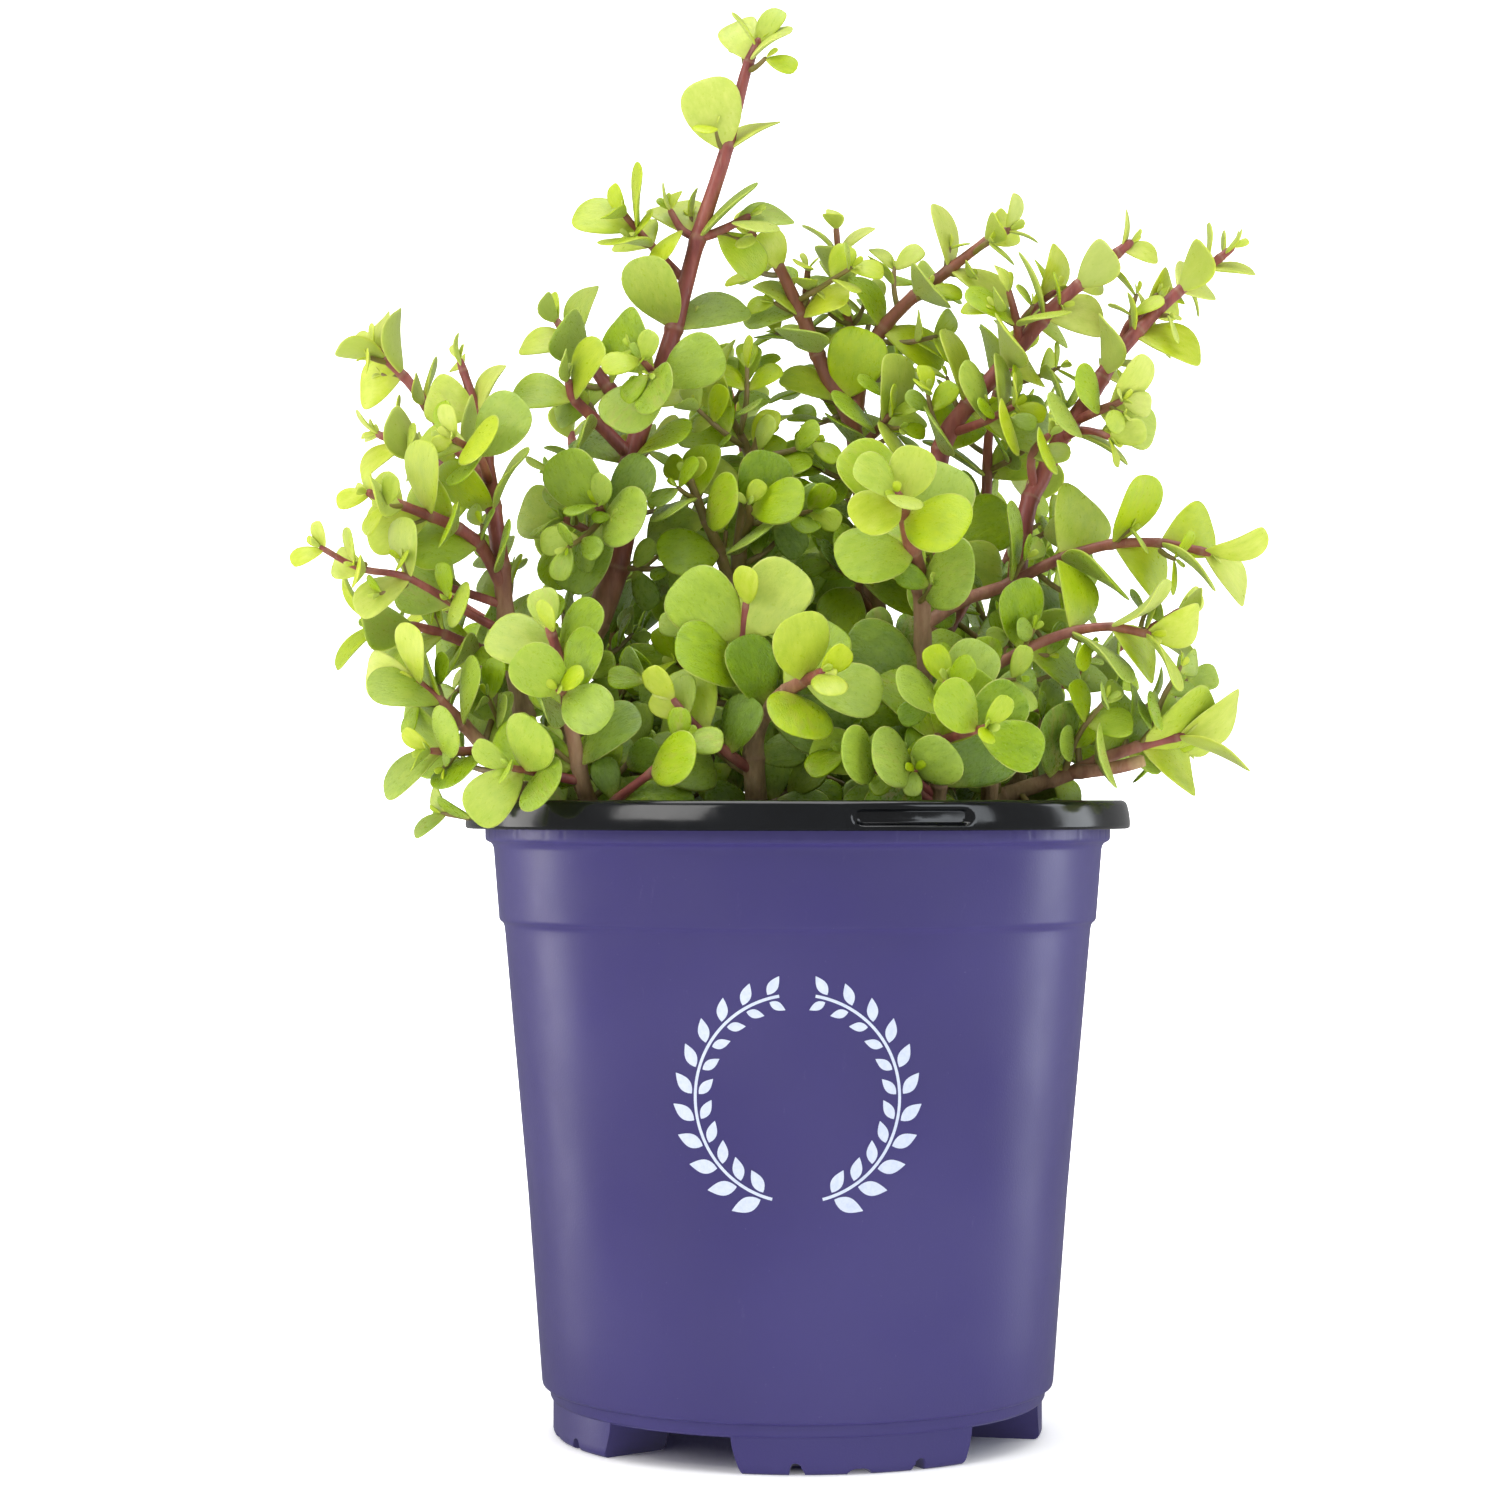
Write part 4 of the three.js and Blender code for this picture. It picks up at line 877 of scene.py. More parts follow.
def leavesOf(shoot):
    bm = bmesh.new()
    toneLayer = bm.verts.layers.float_color.new("leafTone")
    placeLayer = bm.verts.layers.float_color.new("leafPlace")
    for leaf in shoot["leaves"]:
        dressLeaf(leaf, shoot)
        isSmall = leaf["length"] < leafForm["smallUnder"]
        around, rings = leafForm["budFaces" if leaf.get("isBud") else "smallFaces" if isSmall else "faces"]
        made = bmesh.ops.create_uvsphere(bm, u_segments=around, v_segments=rings, radius=1)
        verts = made["verts"]
        points, tones, places = leafSurface(leaf, np.array([vert.co for vert in verts], dtype=float))
        for vert, point, tone, place in zip(verts, points, tones, places):
            vert.co = point
            vert[toneLayer] = tone
            vert[placeLayer] = place
    return bm


def joined(parts):
    bm = bmesh.new()
    for part in parts:
        mesh = bpy.data.meshes.new("part")
        part.to_mesh(mesh)
        part.free()
        bm.from_mesh(mesh)
        bpy.data.meshes.remove(mesh)
    return bm


def leafMaterial():
    paint = Paint("fleshy leaf")
    place = paint.attribute("leafPlace")
    # young, the red channel of leafTone, is the leaf's tone: its youth plus painted light and shade by
    # height, depth in the bush and facing
    young, along, edge, upperSide = paint.channels(paint.attribute("leafTone"))
    across, forward, marked, pale = paint.channels(place)
    old = paint.without(young)

    def onLeaf(acrossScale, alongScale, detail, distortion=0.0):
        # noise laid on the leaf itself, so that its grain runs from the base to the tip
        x, y = paint.times(across, acrossScale), paint.times(forward, alongScale)
        place = {"X": x, "Y": y, "Z": paint.times(marked, 57.0)}
        spot = paint.put("ShaderNodeCombineXYZ", place).outputs["Vector"]
        return paint.grain({"Vector": spot, "Scale": 1.0, "Detail": detail, "Roughness": 0.6,
                            "Distortion": distortion})

    mottle = onLeaf(26, 15, 3, 0.6)
    shade = paint.plus(young, paint.spread(onLeaf(9, 5, 2), 0.34))
    shade = paint.plus(shade, paint.spread(mottle, 0.16), clamp=True)
    green = paint.ramp(shade, [(0.0, (76, 104, 26)), (0.28, (114, 145, 34)), (0.55, (156, 183, 46)),
                               (0.8, (187, 203, 68)), (1.0, (208, 216, 100))])
    strength = paint.step(pale, 0, 1, (1.1, 0.93))
    green = paint.put("ShaderNodeHueSaturation", {"Color": green, "Saturation": strength}).outputs["Color"]
    base = paint.step(along, 0.02, 0.32, (0.5, 0.0))
    green = paint.blend(base, green, (200, 208, 100))
    under = paint.step(upperSide, 0.2, 0.55, (0.5, 0.0))
    green = paint.blend(under, green, (168, 184, 112))
    # a tan bloom along the middle of some old leaves
    middle = paint.times(paint.step(edge, 0.1, 0.75, (1.0, 0.0)), paint.step(marked, 0.72, 0.95))
    bloom = paint.times(paint.times(middle, paint.step(onLeaf(16, 7, 4), 0.45, 0.6)), old)
    green = paint.blend(paint.times(bloom, 0.6), green, (178, 160, 96))
    specks = paint.step(onLeaf(62, 54, 2), 0.64, 0.74, (0.0, 0.3))
    green = paint.blend(specks, green, (212, 220, 142))
    margin = paint.step(edge, 0.9, 0.99, (0.0, 0.6))
    green = paint.blend(margin, green, (212, 218, 120))
    wrinkles = paint.times(onLeaf(34, 11, 4, 1.1), paint.plus(paint.times(old, 0.9), 0.15))
    grain = paint.times(onLeaf(130, 110, 1), 0.14)
    paint.bump(paint.plus(wrinkles, grain), 0.0005, 0.7)
    roughness = paint.step(paint.plus(mottle, paint.times(young, 0.2)), 0.35, 0.8, (0.24, 0.38))
    return paint.finish(green, roughness, Subsurface_Weight=0.18, Subsurface_Radius=(0.9, 1.0, 0.2),
                        Subsurface_Scale=0.0015, Specular_IOR_Level=0.5)


woodForm = {
    "trunkAround": 10, "around": 8, "sprigAround": 5, "step": 4.2, "apart": 0.45,  # mm from ring to ring
    "node": [(-2.0, 1.0), (-0.8, 1.1), (0.0, 1.2), (0.5, 1.05), (1.0, 1.12), (2.4, 1.0)],  # mm, swelling
    "thinNode": [(0.0, 1.16)], "thin": 3.2,  # mm, wood that starts no thicker than this
    "scarTo": 0.5,  # mm past a node
    "oldGap": 15, "oldStray": 0.25, "firstOld": 0.95, "lastOld": 0.06,  # leaf scars on bare stems, gap in mm
    "lump": 0.05, "lumpScale": 0.16, "lumpThick": 3,
    "tip": 0.9, "cutRim": 0.35, "cutDepth": 0.25,
}
barkRule = {
    "from": 222, "to": 186, "thin": 1.3,  # mm: heights between which skin turns to bark, radius of thin wood
    "stems": {"low_left_stem": 40, "front_left_stem": 10, "front_stem": 40, "low_right_stem": 20},
}
oliveRule = {"sprigs": 0.85, "stems": {"cut_stem": 0.75, "rosette_stem": 0.12, "fork_stem": 0.2}}


def swellingsOf(shoot, length):
    nodes = list(nodesOf(shoot))
    share = (nodes[0] if nodes else woodForm["firstOld"]) - woodForm["oldGap"] / length
    while share > woodForm["lastOld"] and not shoot.get("isSprig"):
        nodes.append(share)
        share -= woodForm["oldGap"] * (1 + woodForm["oldStray"] * dice.draw()) / length
    return nodes


def woodFrames(shoot):
    length = lengthOf(shoot)
    steps = max(3, round(length / woodForm["step"]))
    rings = {round(i / steps, 4): (1.0, 0.0) for i in range(steps + 1)}
    kind = "thinNode" if shoot["thick"][0] <= woodForm["thin"] else "node"
    for node in swellingsOf(shoot, length):
        for offset, swelling in woodForm[kind]:
            share = node + offset / length
            if 0 < share < 1:
                rings = {u: v for u, v in rings.items()
                         if abs(u - share) * length > woodForm["apart"] or u in (0.0, 1.0)}
                rings[share] = (swelling, 1.0 if 0 <= offset <= woodForm["scarTo"] else 0.0)
    frames = []
    for share in sorted(rings):
        swelling, scar = rings[share]
        at, direction = pathPoint(shoot["path"], share), pathDirection(shoot["path"], share)
        side = stationAt(shoot, share)["side"]
        side = unit(side - direction * (side @ direction))
        thick = thickAt(shoot["thick"], share) / 2
        lump = woodForm["lump"] * noise.noise(Vector(at * woodForm["lumpScale"]))
        radius = thick * swelling * (1 + lump * min(thick, woodForm["lumpThick"]))
        frames.append({"at": at, "side": side, "other": cross(direction, side), "direction": direction,
                       "radius": radius, "scar": scar, "half": thick})
    return frames


def placeOf(frame):
    matrix = Matrix.Identity(4)
    scales = (("side", frame["radius"]), ("other", frame["radius"]), ("direction", 1.0))
    for column, (axis, scale) in enumerate(scales):
        for row in range(3):
            matrix[row][column] = frame[axis][row] * scale * mm
    for row in range(3):
        matrix[row][3] = frame["at"][row] * mm
    return matrix


def barkAt(frame, stem):
    high = frame["at"][2] - barkRule["stems"].get(stem, 0)
    byHeight = (barkRule["from"] - high) / (barkRule["from"] - barkRule["to"])
    byGirth = frame["half"] - barkRule["thin"]
    return min(max(byHeight, 0), 1) * min(max(byGirth, 0), 1)


def vertsIn(made):
    return [item for item in made["geom"] if isinstance(item, bmesh.types.BMVert)]


def facesIn(made):
    return [item for item in made["geom"] if isinstance(item, bmesh.types.BMFace)]


def edgesOf(verts):
    return list(dict.fromkeys(edge for vert in verts for edge in vert.link_edges))


def paintVerts(verts, layer, tone):
    for vert in verts:
        vert[layer] = tone


def tubeOf(shoot):
    bm = bmesh.new()
    toneLayer = bm.verts.layers.float_color.new("woodTone")
    frames = woodFrames(shoot)
    isSprig = shoot.get("isSprig")
    around = woodForm["sprigAround" if isSprig else "trunkAround" if isFromGround(shoot) else "around"]
    olive = oliveRule["sprigs"] if isSprig else oliveRule["stems"].get(shoot["stem"], 0.0)
    tones = [(barkAt(frame, shoot["stem"]), olive, frame["scar"], 1.0) for frame in frames]
    place = placeOf(frames[0])
    ring = bmesh.ops.create_circle(bm, cap_ends=True, segments=around, radius=1, matrix=place)["verts"]
    edges = edgesOf(ring)
    paintVerts(ring, toneLayer, tones[0])
    for before, after, tone in zip(frames, frames[1:], tones[1:]):
        ring = vertsIn(bmesh.ops.extrude_edge_only(bm, edges=edges))
        inRing = set(ring)
        edges = [edge for edge in edgesOf(ring) if set(edge.verts) <= inRing]
        bmesh.ops.transform(bm, matrix=placeOf(after) @ placeOf(before).inverted(), verts=ring)
        paintVerts(ring, toneLayer, tone)
    if shoot.get("cut"):
        made = bmesh.ops.contextual_create(bm, geom=edges)["faces"]
        rim = bmesh.ops.inset_region(bm, faces=made, thickness=woodForm["cutRim"] * mm,
                                     depth=-woodForm["cutDepth"] * mm)["faces"]
        paintVerts({vert for face in made + rim for vert in face.verts}, toneLayer, (1.0, 0.0, 1.0, 0.0))
    else:
        tip = frames[-1]["at"] + frames[-1]["direction"] * (frames[-1]["radius"] * woodForm["tip"])
        ring = vertsIn(bmesh.ops.extrude_edge_only(bm, edges=edges))
        bmesh.ops.pointmerge(bm, verts=ring, merge_co=Vector(tip * mm))
    bmesh.ops.recalc_face_normals(bm, faces=bm.faces)
    return bm


def stemMaterial():
    paint = Paint("stem skin and bark")
    bark, olive, scar, whole = paint.channels(paint.attribute("woodTone"))
    grain = paint.noise(240, 4, 0.6, (1, 1, 0.25))
    skin = paint.ramp(grain, [(0.3, (112, 54, 54)), (0.55, (152, 82, 76)), (0.75, (172, 108, 94))])
    skin = paint.blend(olive, skin, (118, 116, 52))
    old = paint.ramp(grain, [(0.28, (112, 88, 60)), (0.5, (160, 134, 96)), (0.72, (192, 168, 128))])
    tint = paint.blend(bark, skin, old)
    scratch = paint.step(paint.noise(900, 2, 0.5, (1, 1, 0.12)), 0.66, 0.72, (0.0, 0.3))
    tint = paint.blend(scratch, tint, (176, 132, 118))
    tint = paint.blend(paint.times(scar, 0.45), tint, (150, 116, 92))
    tint = paint.blend(paint.without(whole), tint, (176, 146, 104))
    height = paint.times(paint.noise(520, 5, 0.65, (1, 1, 0.35)), paint.plus(bark, 0.12))
    paint.bump(height, 0.0011, 0.6)
    roughness = paint.plus(paint.times(bark, 0.34), 0.4)
    return paint.finish(tint, roughness, Subsurface_Weight=0.05, Subsurface_Scale=0.001,
                        Specular_IOR_Level=0.42)


leafPaint, stemPaint = leafMaterial(), stemMaterial()
for stem in stemShoots:
    own = [shoot for shoot in plant if shoot["stem"] == stem]
    newPiece(stem + "_wood", joined(map(tubeOf, own)), stemPaint, [stem], levels=1)
    newPiece(stem + "_leaves", joined(map(leavesOf, own)), leafPaint, [stem], levels=1)
print("leafy stems:", len(stemShoots))

# The pot: profiles in millimetres as radius and height, turned about the pot's axis.
pot = {
    "outside": [(58.6, 8.5), (60.2, 8.5), (60.9, 8.9), (61.3, 9.6), (61.4, 11.4), (61.9, 11.9), (62.7, 12.1),
                (63.2, 12.5), (63.4, 13.3), (64.5, 28), (65.7, 44), (66.9, 60), (68.7, 80), (70.6, 101),
                (72.6, 123.5), (72.8, 125.2), (72.95, 125.8), (73.25, 126.3), (73.75, 126.7), (74.05, 127.1),
                (74.15, 127.7), (74.2, 128.6), (74.8, 136), (75.4, 143.6), (75.5, 144.6), (75.7, 145.3),
                (76.1, 145.9), (76.9, 146.3), (77.35, 146.6), (77.55, 147.0), (77.6, 147.6), (77.6, 149.6)],
    "lip": [(77.6, 154.2), (78.4, 155.0), (80.2, 155.0), (81.0, 154.2), (81.0, 150.1), (81.3, 149.6),
            (81.9, 149.5), (82.4, 149.8), (82.5, 150.4)] + [
            (82.5 - 0.002 * i * i, 150.5 + 0.25 * i) for i in range(17)] + [
            (81.85, 155.1), (81.6, 155.7), (81.3, 156.1), (80.9, 156.35), (80.4, 156.5), (78.4, 156.5),
            (77.6, 156.35), (77.0, 155.9), (76.6, 155.2)],
    "inside": [(76.4, 148.6), (74.4, 145.4), (72.9, 128.4), (71.5, 123.8), (65.7, 60), (62.1, 13),
               (61.2, 9.9), (58.6, 9.7)],
    "steps": 600,
    "floor": (60.4, 8.5, 1.2), "floorSteps": 96,  # radius, height, thickness
    "drains": (4.5, 30, 59), "drainSteps": 32,  # radius, radius of their ring, azimuth of the first
    # the tag slot in the lip; from: the radius outside of which the wall is pressed in
    "slot": {"azimuth": 19, "length": 29.4, "height": 4.4, "middle": 152.6, "depth": 1.4, "slope": 1.1,
             "from": 81.9},
    # fine mould lines round the neck: how many, their heights, least radius, depth and sharpness
    "flutes": 72, "fluteHeights": (147.4, 149.7), "fluteFrom": 77, "fluteDepth": 0.0022, "fluteSharpness": 9,
    "blackFrom": 149.6,  # purple below, black above and inside
    "insideFrom": 9, "thinnest": 0.9,
}
foot = {
    "inner": 42, "outer": 60.6, "span": 58, "turn": 14, "high": 9.2, "round": 1.5, "steps": 150,
    "narrowing": 0.09, "narrowingBend": 1.6, "pocket": 50,  # mm, the radius from which the arches go in
    "levels": [9.2, 6.5, 4.6, 3.2, 2.4], "corner": (0, 0.35, 0.7, 1.05, 1.4, math.pi / 2),
    "sole": (0.3, 0.5, 0.7),
    "arches": [(-15.5, 3.6, 2.9), (0, 6.0, 1.4), (15.5, 3.6, 2.9)],  # degrees from the middle, width, height
    "archSide": 3.2, "archTop": 2.2,
}


def wallRadius(high):
    heights = [z for _, z in pot["outside"]]
    return float(np.interp(high, heights, [r for r, _ in pot["outside"]]))


def spinProfile(bm, points, steps, angle=2 * math.pi, start=0.0, isClosed=True):
    place = Matrix.Rotation(start, 4, "Z")
    verts = [bm.verts.new(place @ Vector((radius * mm, 0, high * mm))) for radius, high in points]
    edges = [bm.edges.new(pair) for pair in zip(verts, verts[1:] + verts[:1] if isClosed else verts[1:])]
    made = bmesh.ops.spin(bm, geom=verts + edges, cent=(0, 0, 0), axis=(0, 0, 1), angle=angle, steps=steps,
                          use_merge=angle == 2 * math.pi)
    return verts, [item for item in made["geom_last"] if isinstance(item, bmesh.types.BMVert)]


def pressSlot(bm):
    # the slot deepens from its edge inwards, along both sides and round both ends
    slot = pot["slot"]
    azimuth = math.radians(slot["azimuth"] - 90)
    half = slot["height"] / 2
    for vert in bm.verts:
        radius = math.hypot(vert.co.x, vert.co.y) / mm
        if radius < slot["from"]:
            continue
        along = abs(math.atan2(vert.co.y, vert.co.x) - azimuth) * radius
        past = max(along - slot["length"] / 2 + half, 0)
        inside = (half - math.hypot(past, vert.co.z / mm - slot["middle"])) / slot["slope"]
        inside = min(max(inside, 0), 1)
        vert.co.xy *= 1 - slot["depth"] * inside * inside * (3 - 2 * inside) / radius


def pressFlutes(bm):
    low, high = pot["fluteHeights"]
    for vert in bm.verts:
        if low < vert.co.z / mm < high and math.hypot(vert.co.x, vert.co.y) > pot["fluteFrom"] * mm:
            turn = math.atan2(vert.co.y, vert.co.x) * pot["flutes"] / (2 * math.pi)
            vert.co.xy *= 1 - pot["fluteDepth"] * max(0, 1 - pot["fluteSharpness"] * abs(turn - round(turn)))


def potShell():
    bm = bmesh.new()
    spinProfile(bm, pot["outside"] + pot["lip"] + pot["inside"], pot["steps"])
    bmesh.ops.remove_doubles(bm, verts=bm.verts, dist=1e-6)
    pressSlot(bm)
    pressFlutes(bm)
    bmesh.ops.recalc_face_normals(bm, faces=bm.faces)
    for face in bm.faces:
        middle = face.calc_center_median()
        isInside = (middle.z > pot["insideFrom"] * mm
                    and middle.xy.length < (wallRadius(middle.z / mm) - pot["thinnest"]) * mm)
        face.material_index = 1 if middle.z > pot["blackFrom"] * mm or isInside else 0
    return bm


def potFloor(bm):
    radius, low, thick = pot["floor"]
    drainRadius, ring, azimuth = pot["drains"]
    circles = [(radius, 0, 0, pot["floorSteps"])]
    for quarter in range(4):
        turn = math.radians(azimuth + 90 * quarter)
        circles.append((drainRadius, ring * math.cos(turn), ring * math.sin(turn), pot["drainSteps"]))
    edges = []
    for size, x, y, segments in circles:
        place = Matrix.Translation((x * mm, y * mm, low * mm))
        made = bmesh.ops.create_circle(bm, segments=segments, radius=size * mm, matrix=place)
        edges += edgesOf(made["verts"])
    faces = facesIn(bmesh.ops.triangle_fill(bm, edges=edges))
    raised = bmesh.ops.extrude_face_region(bm, geom=faces, use_keep_orig=True)
    bmesh.ops.translate(bm, vec=(0, 0, thick * mm), verts=vertsIn(raised))
    bmesh.ops.recalc_face_normals(bm, faces=faces + facesIn(raised))


def archAt(turn):
    high = 0
    for middle, width, height in foot["arches"]:
        across = (turn - middle) * math.radians(1) * foot["outer"] / (width / 2)
        if abs(across) < 1:
            high = max(high, height * (1 - abs(across) ** foot["archSide"]) ** (1 / foot["archTop"]))
    return high


def potFoot(azimuth):
    bm = bmesh.new()
    inner, outer, high, bend = foot["inner"], foot["outer"], foot["high"], foot["round"]
    corner = [(bend * (1 - math.sin(a)), bend * (1 - math.cos(a))) for a in foot["corner"]]
    levels = foot["levels"]
    section = ([(outer, z) for z in levels] + [(outer - rise, z) for z, rise in corner]
               + [(outer - share * (outer - inner), 0) for share in foot["sole"]]
               + [(inner + rise, z) for z, rise in corner[::-1]] + [(inner, z) for z in levels[::-1]])
    half = foot["span"] / 2
    first, last = spinProfile(bm, section, foot["steps"], math.radians(foot["span"]), math.radians(-half))
    for ring in (first, last):
        edges = [edge for edge in edgesOf(ring) if edge.verts[0] in ring and edge.verts[1] in ring]
        bmesh.ops.contextual_create(bm, geom=edges)
    for vert in bm.verts:
        turn = math.degrees(math.atan2(vert.co.y, vert.co.x))
        radius = math.hypot(vert.co.x, vert.co.y)
        low, level = archAt(turn), vert.co.z / mm
        if level < low and radius > foot["pocket"] * mm:
            vert.co.z = low * mm
        squeeze = 1 - foot["narrowing"] * max(0, 1 - level / high) ** foot["narrowingBend"]
        turn = math.radians(turn * squeeze)
        vert.co.xy = (radius * math.cos(turn), radius * math.sin(turn))
    bmesh.ops.remove_doubles(bm, verts=bm.verts, dist=2e-6)
    bmesh.ops.recalc_face_normals(bm, faces=bm.faces)
    place = Matrix.Rotation(math.radians(azimuth - 90), 3, "Z")
    bmesh.ops.rotate(bm, verts=bm.verts, cent=(0, 0, 0), matrix=place)
    return bm


def potMaterial():
    paint = Paint("satin purple plastic")
    clouds = paint.noise(9, 2, 0.5)
    tint = paint.blend(paint.step(clouds, 0.3, 0.7), (58, 51, 108), (68, 61, 121))
    scuffs = paint.step(paint.noise(260, 6, 0.7, (1, 1, 0.3)), 0.64, 0.74, (0.0, 0.1))
    tint = paint.blend(scuffs, tint, (120, 116, 160))
    dust = paint.step(paint.noise(1300, 2), 0.72, 0.8, (0.0, 0.16))
    tint = paint.blend(dust, tint, (130, 126, 168))
    grain = paint.plus(paint.noise(1900, 2), paint.times(paint.noise(60, 3), 0.5))
    paint.bump(grain, 0.00008, 0.35)
    roughness = paint.step(paint.noise(40, 4, 0.6), 0.3, 0.7, (0.3, 0.4))
    return paint.finish(tint, roughness, Specular_IOR_Level=0.5)


def rimMaterial():
    paint = Paint("glossy black plastic")
    clouds = paint.noise(30, 3)
    tint = paint.blend(paint.step(clouds, 0.3, 0.7), (9, 10, 12), (15, 17, 20))
    scratches = paint.step(paint.noise(420, 4, 0.7, (1, 1, 6)), 0.68, 0.76, (0.0, 0.2))
    tint = paint.blend(scratches, tint, (70, 76, 86))
    paint.bump(paint.noise(120, 4, 0.6), 0.00008, 0.3)
    roughness = paint.step(paint.noise(70, 4, 0.65), 0.35, 0.7, (0.1, 0.2))
    return paint.finish(tint, roughness, Specular_IOR_Level=0.5)


potBody = potShell()
potFloor(potBody)
potBody = joined([potBody] + [potFoot(foot["turn"] + 90 * quarter) for quarter in range(4)])
newPiece("nursery_pot", potBody, [potMaterial(), rimMaterial()], ["pot"], smoothAngle=55)
print("pot done")

# A plain printed wreath of small leaves on the front of the pot.
wreath = {
    "middle": 88, "radius": 24, "pairs": 11, "from": -70, "to": 74, "smaller": 0.3,
    "leaf": (7.2, 1.7), "grid": (4, 10), "bellied": 0.85, "least": 0.05, "lean": 42, "inner": 0.8,
    "aside": 0.9, "stem": 0.35, "past": 6, "steps": 70, "proud": 0.05, "thick": 0.06,
}


def wrapOnPot(bm, proud):
    for vert in bm.verts:
        across, high = vert.co.x, vert.co.y
        radius = wallRadius(high) + proud + vert.co.z
        turn = across / wallRadius(high) - math.pi / 2
        vert.co = Vector((radius * math.cos(turn), radius * math.sin(turn), high)) * mm


def wreathLeaf(bm, turn, side, size):
    length, half = wreath["leaf"]
    wide, high = wreath["grid"]
    made = bmesh.ops.create_grid(bm, x_segments=wide, y_segments=high, size=1)["verts"]
    for vert in made:
        along = (vert.co.y + 1) / 2
        width = half * math.sin(math.pi * along ** wreath["bellied"]) + wreath["least"]
        vert.co = Vector((vert.co.x * width * size, along * length * size, 0))
    lean = Matrix.Rotation(math.radians(turn + side * wreath["lean"]), 3, "Z")
    bmesh.ops.rotate(bm, verts=made, cent=(0, 0, 0), matrix=lean)
    reach = wreath["radius"] - side * wreath["aside"]
    at = Vector((reach * math.cos(math.radians(turn)), reach * math.sin(math.radians(turn)), 0))
    bmesh.ops.translate(bm, verts=made, vec=at)


def wreathMesh():
    bm = bmesh.new()
    for step in range(wreath["pairs"]):
        share = step / (wreath["pairs"] - 1)
        for side in (-1, 1):
            size = (1 - wreath["smaller"] * share) * (wreath["inner"] if side > 0 else 1)
            wreathLeaf(bm, mix(wreath["from"], wreath["to"], share), side, size)
    # the thin stem between the leaves
    start, end = math.radians(wreath["from"] - wreath["past"]), math.radians(wreath["to"] + wreath["past"])
    radii = [wreath["radius"] + aside for aside in (-wreath["stem"], wreath["stem"])]
    verts = [bm.verts.new((radius * math.cos(start), radius * math.sin(start), 0)) for radius in radii]
    edge = bm.edges.new(verts)
    bmesh.ops.spin(bm, geom=verts + [edge], cent=(0, 0, 0), axis=(0, 0, 1), angle=end - start,
                   steps=wreath["steps"])
    half = bm.verts[:] + bm.edges[:] + bm.faces[:]
    bmesh.ops.mirror(bm, geom=half, axis="X", merge_dist=0)
    bmesh.ops.translate(bm, verts=bm.verts, vec=(0, wreath["middle"], 0))
    wrapOnPot(bm, wreath["proud"])
    bmesh.ops.recalc_face_normals(bm, faces=bm.faces)
    for face in bm.faces:
        if face.normal.dot(Vector((*face.calc_center_median().xy, 0))) < 0:
            face.normal_flip()
    bmesh.ops.solidify(bm, geom=bm.faces[:], thickness=-wreath["thick"] * mm)
    return bm


def printMaterial():
    paint = Paint("pale print")
    wear = paint.step(paint.noise(900, 4, 0.7), 0.3, 0.62)
    tint = paint.blend(wear, (194, 204, 226), (206, 214, 234))
    paint.bump(paint.noise(1600, 2), 0.00005, 0.3)
    return paint.finish(tint, paint.step(wear, 0, 1, (0.42, 0.52)))


newPiece("printed_wreath", wreathMesh(), printMaterial(), [], smoothAngle=30)

# The potting mix: a lumpy surface with bark chips and pale grains.
soil = {
    "wall": [(0.001, 10.1), (59, 10.1), (61.6, 13.3), (65.3, 60), (70.9, 123.5), (72.3, 136)],
    "top": 143, "crown": 2.5, "edge": 72.3, "steps": 150, "rings": 46, "evenness": 0.9,
    "lump": 0.78, "fine": 0.9, "bevel": 6, "bevelDrop": 1.2,
    "chips": 620, "chip": (1.6, 4.6), "grains": 150, "grain": (0.6, 1.5),  # how many, and their sizes
    "clear": 3, "raised": 0.2, "tilt": 0.5, "rough": 0.28, "roughScale": 900,
}


def soilHeight(x, y):
    lump = math.sin(x * 0.53 + 1.2) * math.cos(y * 0.61) + 0.6 * math.sin(x * 0.21 - y * 0.37)
    crown = soil["crown"] * (1 - (x * x + y * y) / soil["edge"] ** 2)
    detail = noise.fractal(Vector((x * 0.35, y * 0.35, 3.0)), 0.7, 2.1, 4)
    edge = min(max((math.hypot(x, y) - soil["edge"]) / soil["bevel"] + 1, 0), 1)
    return soil["top"] + crown + soil["lump"] * lump + soil["fine"] * detail - soil["bevelDrop"] * edge


def soilMesh():
    bm = bmesh.new()
    shares = [(1 - i / soil["rings"]) ** soil["evenness"] for i in range(soil["rings"])]
    top = [(soil["edge"] * share, soil["top"]) for share in shares] + [(0.001, soil["top"])]
    spinProfile(bm, soil["wall"] + top, soil["steps"], isClosed=False)
    bmesh.ops.remove_doubles(bm, verts=bm.verts, dist=4e-6)
    for vert in bm.verts:
        if vert.co.z > (soil["top"] - 0.1) * mm:
            vert.co.z = soilHeight(vert.co.x / mm, vert.co.y / mm) * mm
    bmesh.ops.recalc_face_normals(bm, faces=bm.faces)
    return bm


